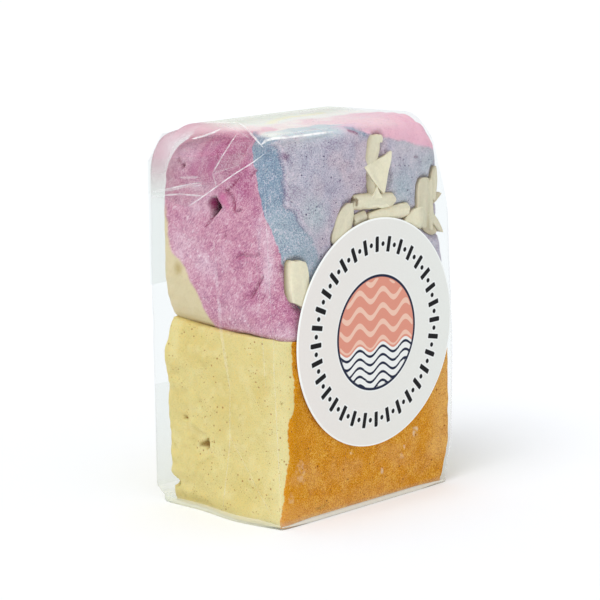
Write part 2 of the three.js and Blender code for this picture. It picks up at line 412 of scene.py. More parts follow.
def speckled(tree, where, spacing, low, high, odds):
    """Round dots from 0 to 1, spacing apart and low to high in radius, in all but a share of the places."""
    cells = add(tree, "TexVoronoi", {"Vector": where, "Scale": 1 / spacing, "Randomness": 1.0}).node
    pick = add(tree, "SeparateColor", {0: cells.outputs["Color"]})
    radius = ramp(tree, pick, odds, 1.0, low / spacing, high / spacing)
    dots = ramp(tree, maths(tree, "SUBTRACT", radius, cells.outputs["Distance"]), 0.0, 0.05)
    return maths(tree, "MULTIPLY", dots, maths(tree, "GREATER_THAN", pick, odds))


STREAK_TURN = (-0.757, 0, 0)  # lays the streaks along the left face's rising diagonal


def marshmallow_shader(pale, deep, speck_colour, large_specks, small_specks, grain_size):
    """Starch-dusted marshmallow. Its two layers' tints, the distance past the layers' edge, and its grit,
    streaks, specks and dust come from the mesh, place by place. pale is the colour of its dust, deep what its
    darkest grain is multiplied by, and the specks' radii are in pairs."""

    def shader(tree):
        where = places(tree)
        fine = grain(tree, where, grain_size, 2)
        streak = grain(tree, places(tree, (1, 1, 0.25), STREAK_TURN), 0.2, 2)
        patches = ramp(tree, grain(tree, where, 2.4, 3, 0.65), 0.3, 0.7, -0.45, 0.45)
        texture = add(tree, "Mix", {0: attribute(tree, "streaks"), 2: fine, 3: streak})
        swing = maths(tree, "ADD", ramp(tree, texture, 0.34, 0.66, -1, 1), patches)
        swing = maths(tree, "MULTIPLY", swing, attribute(tree, "grit"))
        edge = maths(tree, "ADD", attribute(tree, "past_edge"), ramp(tree, fine, 0.3, 0.7, -0.13, 0.13))
        tints = [attribute(tree, name, "Color") for name in ("tint", "second_tint")]
        tint = mixed(tree, ramp(tree, edge, -0.07, 0.07), *tints)
        colour = mixed(tree, maths(tree, "MULTIPLY", swing, 0.8), tint, pale)
        dark = mixed(tree, 1.0, colour, deep, "MULTIPLY")
        colour = mixed(tree, maths(tree, "MULTIPLY", swing, -1.2), colour, dark)
        flecks = ramp(tree, grain(tree, places(tree, (1, 1, 0.4), STREAK_TURN), 0.5, 3, 0.7), 0.59, 0.66)
        colour = mixed(tree, maths(tree, "MULTIPLY", flecks, attribute(tree, "dust")), colour, pale)
        large = speckled(tree, where, 1.4, *large_specks, 0.4)
        small = speckled(tree, where, 0.8, *small_specks, 0.5)
        dots = maths(tree, "MULTIPLY", maths(tree, "MAXIMUM", large, small), attribute(tree, "specks"))
        colour = mixed(tree, dots, colour, speck_colour)
        height = maths(tree, "SUBTRACT", texture, maths(tree, "MULTIPLY", dots, 0.5))
        normal = bumpy(tree, height, 0.7, 0.16)
        soft = {"Subsurface_Weight": 0.08, "Subsurface_Scale": 0.0015}
        return principled(tree, colour, 0.9, normal, 0.06, **soft)

    return shader


FILM_TINT = (0.952, 0.962, 0.955)
FILM_GLOSS, FILM_EDGE_GLOSS = 0.006, 0.45
BASE_HAZE = 0.002


def film_shader(tree):
    """Thin clear film: a faint tint, a mirror that grows towards the edges, and milky haze in its creases."""
    edge = maths(tree, "POWER", add(tree, "LayerWeight", {"Blend": 0.5}, "Facing"), 5.0)
    normal = bumpy(tree, grain(tree, places(tree), 7, 2), 0.3, 0.8)
    clear = add(tree, "BsdfTransparent", {"Color": FILM_TINT})
    mirror = add(tree, "BsdfGlossy", {"Color": (1, 1, 1), "Roughness": 0.08, "Normal": normal})
    milk = add(tree, "BsdfDiffuse", {"Color": attribute(tree, "milk", "Color")})
    haze = maths(tree, "ADD", attribute(tree, "haze"), BASE_HAZE)
    body = add(tree, "MixShader", {0: haze, 1: clear, 2: milk})
    gloss = ramp(tree, edge, 0, 1, FILM_GLOSS, FILM_EDGE_GLOSS)
    gloss = maths(tree, "MULTIPLY", gloss, maths(tree, "SUBTRACT", 1.0, haze))
    return add(tree, "MixShader", {0: gloss, 1: body, 2: mirror})


def crease_and_highlight_shader(tree):
    """The bright line of a crease or of a cut edge in the film: the crease's own whitening and a painted
    highlight.
    """
    clear = add(tree, "BsdfTransparent", {"Color": (1, 1, 1)})
    milk = add(tree, "BsdfDiffuse", {"Color": (0.98, 0.98, 0.98)})
    mirror = add(tree, "BsdfGlossy", {"Color": (1, 1, 1), "Roughness": 0.2})
    bright = add(tree, "MixShader", {0: 0.35, 1: milk, 2: mirror})
    uneven = ramp(tree, grain(tree, places(tree), 2.5, 2), 0.3, 0.6, 0.4, 1.0)
    share = maths(tree, "MULTIPLY", attribute(tree, "haze"), uneven)
    return add(tree, "MixShader", {0: share, 1: clear, 2: bright})


INKS = {
    "rim": srgb(250, 253, 250),
    "white": srgb(240, 242, 240),
    "coral": srgb(224, 150, 130),
    "peach": srgb(240, 198, 178),
    "navy": srgb(20, 30, 58),
    "black": srgb(6, 6, 10),
}
PAPER_LEFT, PAPER_RIGHT = srgb(235, 230, 225), srgb(232, 235, 230)
INK_EDGE = 0.05


def paper_shader(tree):
    """Printed paper: each ink lies where the mesh says that a place is inside the ink's shapes."""
    where = places(tree)
    fibre = grain(tree, where, 0.35, 4)
    across = ramp(tree, add(tree, "SeparateXYZ", {0: where}), LABEL_X - LABEL_RADIUS, LABEL_X + LABEL_RADIUS)
    colour = mixed(tree, across, PAPER_LEFT, PAPER_RIGHT)
    colour = tinted(tree, colour, ramp(tree, fibre, 0.3, 0.7, 0.985, 1.015))
    for ink, tone in INKS.items():
        colour = mixed(tree, ramp(tree, attribute(tree, ink), -INK_EDGE, INK_EDGE), colour, tone)
    return principled(tree, colour, 0.5, bumpy(tree, fibre, 0.1, 0.02), 0.15)


def chocolate_shader(tree):
    fine = grain(tree, places(tree), 0.6, 3)
    lines = grain(tree, places(tree, (0.4, 1, 2.2)), 0.8, 3)
    colour = tinted(tree, attribute(tree, "tint", "Color"), ramp(tree, fine, 0.35, 0.65, 0.96, 1.03))
    height = maths(tree, "ADD", maths(tree, "MULTIPLY", fine, 0.5), maths(tree, "MULTIPLY", lines, 0.5))
    soft = {"Subsurface_Weight": 0.05, "Subsurface_Scale": 0.001}
    return principled(tree, colour, 0.55, bumpy(tree, height, 0.3, 0.12), 0.2, **soft)


# ---------------------------------------------------------------- the blocks' form

GRID = 0.42  # the blocks' mesh spacing
FACE_AXIS = {"left": 0, "front": 1, "top": 2}
FACE_FADE = 2.5  # how deep below its plane a face still counts
ROUND_EDGE = 0.85  # how much shorter the way round the front left edge is on its front side
HEEL_DENT_Z, HEEL_DENT_HALF = 4.7, 2.6


class Block:
    """A block's surface grid: its places in the plain box, and its points once shaped."""

    def __init__(self, low, high, corners, foot, top, left_in, right_in, heel_dent=0.0):
        """corners are the upright edges' radii (front left, front right, back left, back right), and foot and
        top those of the lying edges (left, right, front, back). left_in and right_in say how far in from the
        bag the sides are at each height, the left one for its front and for its back, and heel_dent how much
        further in the left side is at the back, near its foot."""
        self.low, self.high = np.array(low, float), np.array(high, float)
        shares, self.faces = box_shell(self.high - self.low, GRID)
        self.plain = self.low + shares * (self.high - self.low)
        x, y, z = self.plain.T.copy()
        x, y = self.round_pair(x, y, 0, 1, corners)
        x, z = self.round_pair(x, z, 0, 2, foot[:2] + top[:2])
        y, z = self.round_pair(y, z, 1, 2, foot[2:] + top[2:])
        self.base = sculpt(np.stack([x, y, z], 1), folds=0.0)
        u, back = x / HALF_WIDTH, (y + HALF_DEPTH) / (2 * HALF_DEPTH)
        inset = lerp(steps(z, left_in[0]), steps(z, left_in[1]), back)
        inset = inset + heel_dent * bump((z - HEEL_DENT_Z) / HEEL_DENT_HALF) * back**6
        self.base[:, 0] += np.maximum(0, -u) * inset - np.maximum(0, u) * steps(z, right_in)

    def round_pair(self, a, b, i, j, radii):
        """Rounds the four edges where axes i and j meet: low-low, high-low, low-high, high-high."""
        for radius, (side_a, side_b) in zip(radii, ((-1, -1), (1, -1), (-1, 1), (1, 1))):
            if radius:
                centre_a = (self.low if side_a < 0 else self.high)[i] - side_a * radius
                centre_b = (self.low if side_b < 0 else self.high)[j] - side_b * radius
                c, d = rounded(side_a * (a - centre_a), side_b * (b - centre_b))
                a, b = centre_a + side_a * c, centre_b + side_b * d
        return a, b

    def on(self, face):
        """How much each point belongs to a face: 1 on it, 0 deep below it."""
        axis = FACE_AXIS[face]
        end = self.high[axis] if face == "top" else self.low[axis]
        return np.clip(1 - np.abs(self.plain[:, axis] - end) / FACE_FADE, 0, 1)

    def flat(self, face):
        """The two coordinates that run along a face: y and z, x and z, or x and y."""
        return np.delete(self.base, FACE_AXIS[face], axis=1).T

    def mark(self, face, at, half, turn=0):
        """A bump on a face: round a middle, with two half sizes and turned by degrees, or along a line
        through knots, with one half width."""
        a, b = self.flat(face)
        if np.ndim(half):
            away = blot(*turned(a - at[0], b - at[1], turn), (0, 0), half)
        else:
            away = bump(along_line(a, b, at) / half)
        return away * (self.on(face) > 0)

    def marks(self, table):
        """A table's marks, each times its amount. For each face it holds rows of an amount and a mark."""
        return [amount * self.mark(face, *mark) for face, rows in table.items() for amount, *mark in rows]

    def coats(self, table, colour):
        """A table's marks as coats of one colour, to paint with."""
        return [(share, colour) for share in self.marks(table)]

    def within(self, rim, low, high):
        """1 inside an outline on the left face, and 0 outside it, with an edge from low to high."""
        return smooth(inside(*self.flat("left"), rim), low, high) * (self.on("left") > 0)

    def shape(self, relief, rise=0.0):
        """Moves the surface out by relief along its own normals, then up, and keeps it in the film."""
        points = self.base + vertex_normals(self.base, self.faces) * relief[:, None]
        points[:, 2] += rise
        self.points = keep_in_film(points)

    def unwrapped(self):
        """The distance round the front left edge from above: below 0 on the left, above on the front."""
        return ROUND_EDGE * (self.plain[:, 0] - self.low[0]) - (self.plain[:, 1] - self.low[1])


# How far in from the bag the blocks' sides are, as (z, distance).
UPPER_LEFT_FRONT = ((40, 2.4), (44, 1.8), (72, 1.8), (78, 2.2), (84, 3.6))
UPPER_LEFT_BACK = (
    *((40.2, 5.7), (41.5, 4.9), (42.6, 3.8), (44.5, 2.7), (47, 1.8)),
    *((51, 1.0), (66, 0.8), (74, 1.7), (80, 3.9), (84, 6.6)),
)
UPPER_RIGHT = ((40, 1.2), (50, 1.6), (56, 2.5), (64, 2.7), (70, 1.4), (76, 0.5))
LOWER_LEFT_FRONT = ((1, 0.3), (7.6, 0.8), (12.5, 2.0), (21, 2.4), (27, 2.9), (32, 3.1), (40, 2.6))
LOWER_LEFT_BACK = (
    *((1.2, 2.6), (3, 2.0), (6, 1.9), (9, 1.5), (15, 1.4), (23, 1.1)),
    *((28, 0.9), (31.5, 0.7), (34, 0.9), (37, 2.0), (40, 2.9)),
)
LOWER_RIGHT = ((1, 0.4), (6, 0.2), (12, 0.4), (30, 0.8), (40, 1.1))
LOWER_RISE = ((-18, 0.25), (-11, 0.1), (-4, 0.0), (6, 0.3), (11, 0.7), (16, 1.5))  # its top's, as (y, rise)

# The upper block's swirl: the blue layer's edge as (z, distance round the front left edge), the lilac layer's
# lip and the top's pink as (x, z) on the front, the cream's edge as (z, y), and the left face's upper end as
# (y, z).
BLUE_EDGE = (
    *((40.3, 9.0), (45.5, 5.0), (50.0, 1.8), (52.6, 1.1), (56.0, 0.9), (59.5, 0.75), (61.2, 0.5)),
    *((62.9, -0.4), (64.7, -1.25), (66.4, -2.0), (69.8, -2.8), (73.3, -3.6), (75.0, -4.1)),
    *((76.7, -5.1), (78.4, -5.6), (80.2, -6.9), (82.0, -8.3)),
)
LIP = (
    *((-22.8, 83.5), (-22.0, 81.0), (-21.7, 78.4), (-21.5, 75.1), (-22.1, 73.1), (-22.0, 70.2)),
    *((-22.2, 68.1), (-20.4, 67.3), (-19.6, 64.5), (-17.5, 61.4), (-15.5, 57.7), (-10.0, 50.0), (-4.0, 40.0)),
)
PINK_TOP = ((-2.0, 84.5), (-0.5, 81.7), (3.0, 80.8), (6.9, 80.1), (12.0, 78.9), (17.5, 77.5), (23.0, 76.0))
CREAM_EDGE = (
    *((40, 4.2), (42.3, 5), (46.7, 6.7), (50.2, 8.5), (52.9, 9.9)),
    *((54.5, 11.2), (55.6, 13.2), (58, 14.2), (70, 15)),
)
LEFT_CREST = ((-6, 81.8), (-0.4, 82.8), (5.6, 82.2), (10.1, 81.0), (12.7, 79.6), (16.5, 77.6))
# The top's pale green and its blue, as the (x, y) where they end, and its cream line and its pink patch.
GREEN_EDGE = ((-14, 0.8), (-5.6, 0.4), (0.5, 1.7), (5, -0.3), (11, -0.4), (16, -1.7), (20, -4.3), (22, -9))
TOP_BLUE_EDGE = (
    *((-26, -8.5), (-21.5, -7.2), (-18.5, -5.6), (-16, -6.7)),
    *((-8, -7.2), (-4, -8.4), (-2.4, -13), (-1.5, -30)),
)
CREAM_LINE, CREAM_LINE_HALF = ((-6.6, 3.9), (2, 7.9), (10, 7.5), (17, 11)), 2.4
PINK_PATCH = ((-12.4, 1.0), (-11.0, -0.6), (-13.5, -5.4), (-18.5, -5.3))
# The lower block's outer skin: its edge, as (z, distance round the front left edge).
SKIN_EDGE = (
    *((1, -0.35), (7, 0.3), (13.6, 0.3), (15.7, 0.65), (20, 0.3), (22.2, 0.4)),
    *((24.3, 1.3), (32, 1.2), (37.3, 0.9), (40, 1.4)),
)
# On the left faces, as (y, z): the torn hole, the fold and the cuts beside it, and the lower block's pit.
HOLE_RIM = (
    *((1.4, 69.1), (0.6, 68.1), (-0.6, 66.9), (0.7, 65.7), (1.6, 64.6)),
    *((2.4, 63.9), (2.3, 65.6), (2.9, 66.6), (3.5, 67.3), (2.9, 68.6)),
)
FOLD = ((-1.4, 70.5), (-2.9, 69.8), (-3.6, 68.7), (-3.85, 67.6), (-3.9, 66.4))
CUT_ABOVE_FOLD, CUT_BEFORE_FOLD = ((-1.5, 70.4), (-3.1, 71.6), (-4.6, 73.4)), ((-4.6, 66.4), (-5.6, 66.8))
FRONT_CUT, LOW_CUT = ((-7.9, 74.2), (-9.3, 75.6)), ((-11.3, 53.2), (-9.3, 50.1), (-8.3, 48.6))
BACK_CUT = ((13.6, 75.8), (11.3, 74.4))
ZIGZAG = ((-4.6, 56.7), (-6.0, 57.5), (-6.9, 57.0), (-7.9, 57.5), (-8.9, 57.0), (-10.2, 57.8))
PIT_RIM = (
    *((5.7, 15.0), (4.5, 15.6), (4.1, 14.9), (3.8, 14.1)),
    *((4.8, 13.4), (5.8, 13.8), (7.0, 13.7), (7.0, 14.3)),
)

# Relief, in tables of marks: for each face how far the mark stands out, and its middle, half sizes and turn
# or its line and half width. The first table lies under the torn hole, the second over it.
RELIEF_UNDER_HOLE = {"left": ((0.6, (-1.4, 68.6), (2.6, 2.2), 20), (-0.45, FOLD, 0.6))}
UPPER_RELIEF = {
    "left": (
        (-0.4, CUT_ABOVE_FOLD, 0.55),
        (-0.6, CUT_BEFORE_FOLD, 0.5),
        (-1.2, (11.3, 74.6), (0.8, 0.9), 30),
        (-0.6, BACK_CUT, 0.6),
        (-1.2, (-4.3, 79.1), (1.3, 2.4), 10),
        (0.6, ((5.8, 79.5), (5.4, 74.3), (4.2, 71.8)), 1.5),
        (-0.5, (3.2, 75.2), (1.6, 3.2)),
        (-0.5, FRONT_CUT, 0.5),
        (-0.6, (-1.4, 60.9), (0.6, 0.5)),
        (-0.6, ZIGZAG, 0.45),
        (-0.7, LOW_CUT, 0.45),
        (-0.3, ((-13.0, 51.5), (-11.0, 48.0)), 0.5),
        (0.3, ((14.9, 63.8), (8.6, 59.5), (5.0, 60.2)), 0.6),
    ),
    "front": (
        (-0.5, (-23.2, 78.6), (0.9, 0.9)),
        (-0.8, (6.4, 77.3), (0.9, 0.6)),
        (-0.6, (16.2, 75.1), (1.1, 0.35), -8),
        (-0.4, ((-3.0, 82.6), (1.5, 82.2), (4.5, 80.8)), 0.7),
    ),
    "top": ((-0.5, ((7.0, -12.5), (9.5, -14.5)), 0.9),),
}
LOWER_RELIEF = {
    "left": (
        (0.45, ((3.2, 15.8), (3.4, 12.4), (6.9, 10.3), (8.5, 7.5)), 0.9),
        (0.45, ((8.4, 18.5), (5.6, 17.2)), 0.9),
        (0.45, ((6.4, 24.5), (7.6, 31.0)), 0.9),
        (-0.8, (10.9, 19.5), (1.4, 0.7), 20),
        (-0.3, ((14.0, 29.0), (9.0, 27.0), (7.0, 23.0)), 1.2),
        (-0.3, (8.5, 16.3), (1.5, 0.7), 10),
        (-3.0, (16.2, 4.3), (3.4, 1.2), 12),
        (0.4, (16.0, 33.5), (4.0, 5.0)),
    ),
}

# Each shaving: its middle (x, z), its length and width, how far its length turns from upright to the right,
# the shares of its width left at its lower and upper end, how full its outline is (1 pointed, 2 rounded,
# 4 square), how far its middle bows out, how far it lies out, how light it is, where along its length it is
# widest, how oblique its ends are cut, and how many ridges it has.
Flake = namedtuple(
    "Flake", "at size turn ends full bow lift tone widest slant ridges", defaults=(1, 0.5, (0, 0), 0)
)
SHAVINGS = (
    Flake((-20.7, 52.0), (9.9, 5.2), -6, (0.5, 0.55), 2.7, 0.15, 0.55, 1.08, slant=(-0.2, -0.04)),
    Flake((2.3, 78.1), (5.7, 4.4), 12, (0.7, 0.8), 3, 0.5, 0.15, 0.98, slant=(0.25, -0.05)),
    Flake((3.8, 80.2), (1.6, 2.8), 10, (0.8, 0.5), 3, 0.3, 0.45),
    Flake((2.2, 71.1), (5.4, 3.4), -8, (0.9, 0.95), 4, 0.5, -0.15, 0.88),
    Flake((4.3, 72.1), (7.8, 8.7), -17, (0.04, 0.96), 1.1, -0.2, 0.8, 1.1, 0.99),
    Flake((2.6, 66.9), (13.2, 3.4), 94, (0.9, 0.55), 5, 0.75, 0.05, 1.03),
    Flake((3.0, 67.7), (4.4, 9.0), 4, (0.95, 0.05), 0.8, -0.15, 0.75, 1.12, 0.01),
    Flake((-7.2, 63.0), (9.9, 5.2), 30, (0.35, 0.06), 1.8, 0.3, 0.45, 0.99),
    Flake((-1.7, 63.6), (3.8, 2.6), 78, (0.8, 0.8), 4, 0.3, 0.15, 0.92),
    Flake((7.3, 63.6), (13.2, 3.0), 87, (0.4, 0.7), 2.8, 0.45, 0.35, 1.06, 0.72),
    Flake((15.6, 61.6), (6.6, 5.0), 86, (0.08, 0.95), 1.3, 0.3, 0.5, 1.08, 0.92),
    Flake((18.9, 64.6), (11.0, 4.3), 2, (0.5, 0.45), 2.5, 0.35, 0.35, 0.97, 0.6, ridges=1.0),
    Flake((21.2, 64.0), (11.4, 2.3), -3, (0.5, 0.35), 2.5, 0.5, 0.25),
    Flake((22.4, 68.6), (7.4, 2.4), 4, (0.5, 0.08), 1.8, 0.4, 0.3),
    Flake((21.5, 65.8), (4.6, 1.6), 4, (0.6, 0.6), 3, 0.4, 0.1),
    Flake((23.6, 65.6), (3.0, 2.4), 72, (0.9, 0.1), 1.4, 0.2, 0.1, widest=0.1),
    Flake((23.0, 60.0), (6.8, 1.7), 137, (0.8, 0.15), 2, 0.2, 0.45, widest=0.3),
    Flake((21.2, 58.8), (5.0, 2.4), 118, (0.6, 0.3), 2, 0.2, 0.1),
)
DENT_REACH, SHADE_REACH = 1.0, 1.3  # how far the blocks' dent and painted shade reach from a shaving


def lip_side(block):
    """The signed distance from the lilac layer's lip on the front: above 0 on the lilac."""
    x, z = block.flat("front")
    at = steps(-z, [(-lip_z, lip_x) for lip_x, lip_z in LIP])
    away = along_line(x, z, LIP)
    return np.where(x > at, away, -away)


def hole(block):
    """How far into the torn hole each place is, and how deep the hole is there, both from 0 to 1."""
    return block.within(HOLE_RIM, -0.12, 0.3), smooth(block.base[:, 1], 3.4, 0.6)


def pit(block):
    """How far into the lower block's pit each place is, from 0 to 1."""
    return block.within(PIT_RIM, -0.2, 0.25)


def beside_shavings(block, reach):
    """1 beside a shaving on the front, falling to 0 at a distance of reach."""
    x, z = block.flat("front")
    nearest = np.full(len(x), np.inf)
    for (flake_x, flake_z), (length, width), turn, *_ in SHAVINGS:
        dx, dz = turned(0, max((length - 0.7 * width) / 2, 0.1), turn)
        ends = ((flake_x - dx, flake_z - dz), (flake_x + dx, flake_z + dz))
        nearest = np.minimum(nearest, along_line(x, z, ends) - 0.4 * width)
    return bump(np.maximum(0, nearest) / reach) * block.on("front")


def shaped_upper():
    block = Block(
        low=(-HALF_WIDTH, -18.025, 40.15),
        high=(HALF_WIDTH, 16.3, 83.9),
        corners=(2.0, 1.5, 2.0, 3.0),
        foot=(0.9, 2.0, 0.6, 2.0),
        top=(0, 0, 0, 0),
        left_in=(UPPER_LEFT_FRONT, UPPER_LEFT_BACK),
        right_in=UPPER_RIGHT,
    )
    p, front = block.plain, block.on("front")
    x, _, z = block.base.T
    lip = lip_side(block)
    step = 0.3 * smooth(lip, -0.35, 0.25) + 0.18 * bump((lip - 0.5) / 0.9)
    relief = 0.25 * layers(p, 9.0, 3) + 0.09 * layers(p, 1.9, 7, 2) + 0.03 * layers(p, 0.9, 8, 1)
    relief += front * step * smooth(z, 56, 60)
    relief -= 0.75 * front * blot(x, z, (11, 66), (19, 14)) ** 0.5  # the bed of the shavings
    relief -= 0.7 * beside_shavings(block, DENT_REACH)
    relief += sum(block.marks(RELIEF_UNDER_HOLE))
    within, depth = hole(block)
    block.shape(lerp(relief, -lerp(0.9, 3.0, depth), within) + sum(block.marks(UPPER_RELIEF)))
    return block


def shaped_lower():
    block = Block(
        low=(-HALF_WIDTH, -18.25, 0.06),
        high=(HALF_WIDTH, 16.3, 40.1),
        corners=(0.8, 1.2, 1.8, 2.0),
        foot=(0.25, 2.4, 0.25, 1.0),
        top=(0.8, 1.0, 0.4, 1.0),
        left_in=(LOWER_LEFT_FRONT, LOWER_LEFT_BACK),
        right_in=LOWER_RIGHT,
        heel_dent=1.7,
    )
    p, y = block.plain, block.base[:, 1]
    relief = 0.25 * layers(p, 11.0, 5) + 0.13 * layers(p, 3.2, 9, 2) + 0.05 * layers(p, 1.1, 11, 1)
    relief += 0.34 * block.on("left") * layers(p, 2.1, 12, 2) * smooth(y, -2, 8)
    relief = lerp(relief, -lerp(0.9, 2.0, smooth(y, 6, 4.6)), pit(block))
    rise = smooth(p[:, 2], 32, 40.1) * steps(y, LOWER_RISE)
    block.shape(relief + sum(block.marks(LOWER_RELIEF)), rise)
    return block


# ---------------------------------------------------------------- the blocks' colours

PINK, PINK_DEEP, PINK_PALE = srgb(207, 144, 170), srgb(184, 96, 142), srgb(232, 204, 218)
BLUE, BLUE_GREY = srgb(137, 163, 184), srgb(184, 199, 206)
LILAC, LILAC_PINK, LILAC_BLUE = srgb(188, 184, 201), srgb(203, 189, 201), srgb(180, 186, 201)
LILAC_PALE, LIP_HIGHLIGHT = srgb(208, 208, 214), srgb(216, 206, 220)
CREAM, CREAM_DEEP = srgb(224, 210, 172), srgb(192, 170, 116)
TOP_PINK, TOP_LEFT, TOP_LILAC = srgb(244, 192, 210), srgb(246, 196, 214), srgb(240, 204, 222)
TOP_WHITE, TOP_CREAM = srgb(253, 241, 239), srgb(253, 249, 212)
TOP_GREEN, TOP_BLUE = srgb(248, 252, 246), srgb(204, 217, 225)
YELLOW, YELLOW_DEEP, YELLOW_PALE = srgb(228, 213, 148), srgb(218, 198, 126), srgb(238, 228, 174)
OCHRE, OCHRE_DEEP, SKIN_WORN = srgb(222, 146, 22), srgb(213, 139, 0), srgb(242, 216, 190)
OCHRE_PALE, OCHRE_LIGHT = srgb(226, 160, 82), srgb(230, 172, 98)
HOLE_SHADE, HOLE_PINK = srgb(58, 10, 34), srgb(160, 60, 108)
FOLD_AND_CUT_SHADE, FOLD_PINK = srgb(146, 26, 88), srgb(222, 124, 170)
RECESS_SHADE, PIT_SHADE_BROWN = srgb(120, 76, 116), srgb(150, 116, 50)
SEAM_BROWN, FLAKE_SHADE = srgb(150, 100, 50), srgb(104, 84, 104)

# Tables of marks again, now with the share of the colour that they are painted with.
DEEP_PLACES = {
    "left": (
        (0.5, (9.5, 74.5), (5.0, 4.5)),
        (0.9, (8.0, 74.6), (2.2, 3.6)),
        (0.9, (3.5, 75.2), (2.0, 4.0)),
        (0.8, (1.0, 78.5), (4.5, 5.0)),
        (0.9, (-4.3, 79.1), (1.4, 2.6), 10),
        (0.9, (-2.8, 80.2), (3.0, 1.8)),
        (0.8, (-6.0, 71.0), (4.0, 4.5), 40),
        (0.5, (-9.4, 66.0), (2.0, 6.0)),
        (0.8, (-0.6, 68.8), (2.6, 2.4), 25),
        (0.5, (-5.5, 57.2), (3.5, 3.0)),
        (0.25, (3.5, 57.5), (5.0, 4.0), 30),
        (0.5, (-9.0, 49.5), (3.0, 7.0), 30),
        (0.3, (8.0, 45.0), (3.0, 4.0)),
        (0.8, (-1.2, 79.0), (2.6, 3.2)),
        (0.25, (11.0, 63.5), (3.5, 3.5)),
    )
}
PALE_PLACES = {
    "left": (
        (0.4, (5.6, 76.0), (0.9, 4.2)),
        (0.5, (6.0, 70.6), (5.0, 1.6)),
        (0.3, (10.5, 56.5), (3.5, 4.0)),
        (0.5, (4.6, 79.2), (1.6, 2.0)),
        (0.45, (4.5, 53.5), (4.0, 4.5)),
        (0.5, (-10.4, 60.5), (1.0, 5.0)),
        (0.65, (-12.6, 55.5), (2.6, 10.0)),
        (0.4, (7.2, 66.0), (2.6, 3.0)),
        (0.4, (-6.8, 77.0), (1.6, 4.0), -30),
    )
}
GREY_PLACES = {
    "front": ((0.9, (12.0, 68), (8.0, 8), -20), (0.9, (21, 73), (7, 5)), (0.9, (-16, 66), (5, 6), 30)),
}
# Painted shade in the left face's cuts and cracks.
CUT_SHADES = {
    "left": (
        (0.8, (11.3, 74.6), (0.8, 0.9)),
        (0.8, (-1.4, 60.9), (0.6, 0.5)),
        (0.8, CUT_ABOVE_FOLD, 0.5),
        (0.6, CUT_BEFORE_FOLD, 0.5),
        (0.6, FRONT_CUT, 0.5),
        (0.5, LOW_CUT, 0.4),
        (0.6, BACK_CUT, 0.5),
        (0.9, ((2.0, 64.4), (3.7, 62.4)), 0.55),
        (0.7, ((1.5, 80.5), (0.9, 79.0)), 0.4),
        (0.6, ((2.6, 78.5), (1.8, 77.0)), 0.4),
    )
}
# Painted shade in the front's pits.
PIT_SHADES = {
    "front": (
        (0.8, (6.4, 77.3), (0.9, 0.6)),
        (0.8, (-21.0, 78.5), (1.3, 1.3)),
        (0.8, (16.2, 75.1), (1.1, 0.4)),
    )
}
WORN_PLACES = {
    "front": (
        (1.0, (16.7, 13.6), (1.7, 2.0)),
        (1.0, (12.8, 10.7), (0.5, 0.8)),
        (0.9, (-4.9, 12.6), (0.6, 0.5)),
        (0.8, (5.4, 6.8), (1.0, 0.9)),
        (0.4, (12.0, 9.0), (1.4, 1.2)),
        (0.35, (-20.5, 11.5), (2.6, 4.0)),
        (0.3, (-23.5, 6.0), (1.2, 2.6)),
    )
}
# Painted shade in the left face's dents and notch, and one dark speck.
PIT_SHADES_AND_SPECK = {
    "left": (
        (0.9, (10.9, 19.5), (1.1, 0.5)),
        (0.9, (-15.4, 26.4), (0.5, 0.4)),
        (0.5, (15.0, 4.4), (2.6, 0.6), 12),
    )
}
# Places of the left face without grit: middle and half sizes.
SMOOTH_PLACES = (
    ((8.0, 74.6), (2.0, 3.4)),
    ((3.5, 75.2), (1.9, 3.8)),
    ((-1.2, 68.8), (2.6, 2.2)),
    ((5.6, 76), (1.0, 4.0)),
)
UPPER_SEAM_Z, LOWER_SEAM_Z = 40.1, 41.0


def pink_layer(block, broad):
    _, y, z = block.base.T
    return painted(
        PINK,
        (0.35 * smooth(broad, -0.1, 0.9), PINK_PALE),
        *block.coats(DEEP_PLACES, PINK_DEEP),
        *block.coats(PALE_PLACES, PINK_PALE),
        (0.5 * smooth(z, 69, 75) * (1 - 0.8 * smooth(y, 8, 13)), PINK_DEEP),
        # painted light: paler at the top back, where the film's milky veil shades the block
        (0.6 * smooth(y, 6, 11) * smooth(z, 72, 77), PINK_PALE),
        (0.5 * block.mark("front", (-22.5, 46.5), (5, 6)), PINK_DEEP),
        (0.5 * block.mark("left", (-6.0, 77.0), (1.8, 4.0), -30), FOLD_PINK),
    )


def lilac_layer(block):
    x, _, z = block.base.T
    return painted(
        LILAC,
        (smooth(layers(block.plain, 6.0, 35), 0.0, 0.8), LILAC_PINK),
        (0.6 * smooth(x, -6, -20), LILAC_BLUE),
        (0.9 * blot(x, z, (-1, 70), (9, 9)), LILAC_PINK),
        (0.7 * blot(x, z, (-14, 60), (4, 3)), LILAC_PINK),
        (0.5 * blot(x, z, (12, 77), (7, 2)), LILAC_PINK),
        (0.4 * smooth(x, 6, 10), LILAC_PALE),
        *block.coats(GREY_PLACES, BLUE_GREY),
        (0.3 * block.mark("front", (13.5, 69.5), (6.5, 6.5), -30), BLUE),
    )


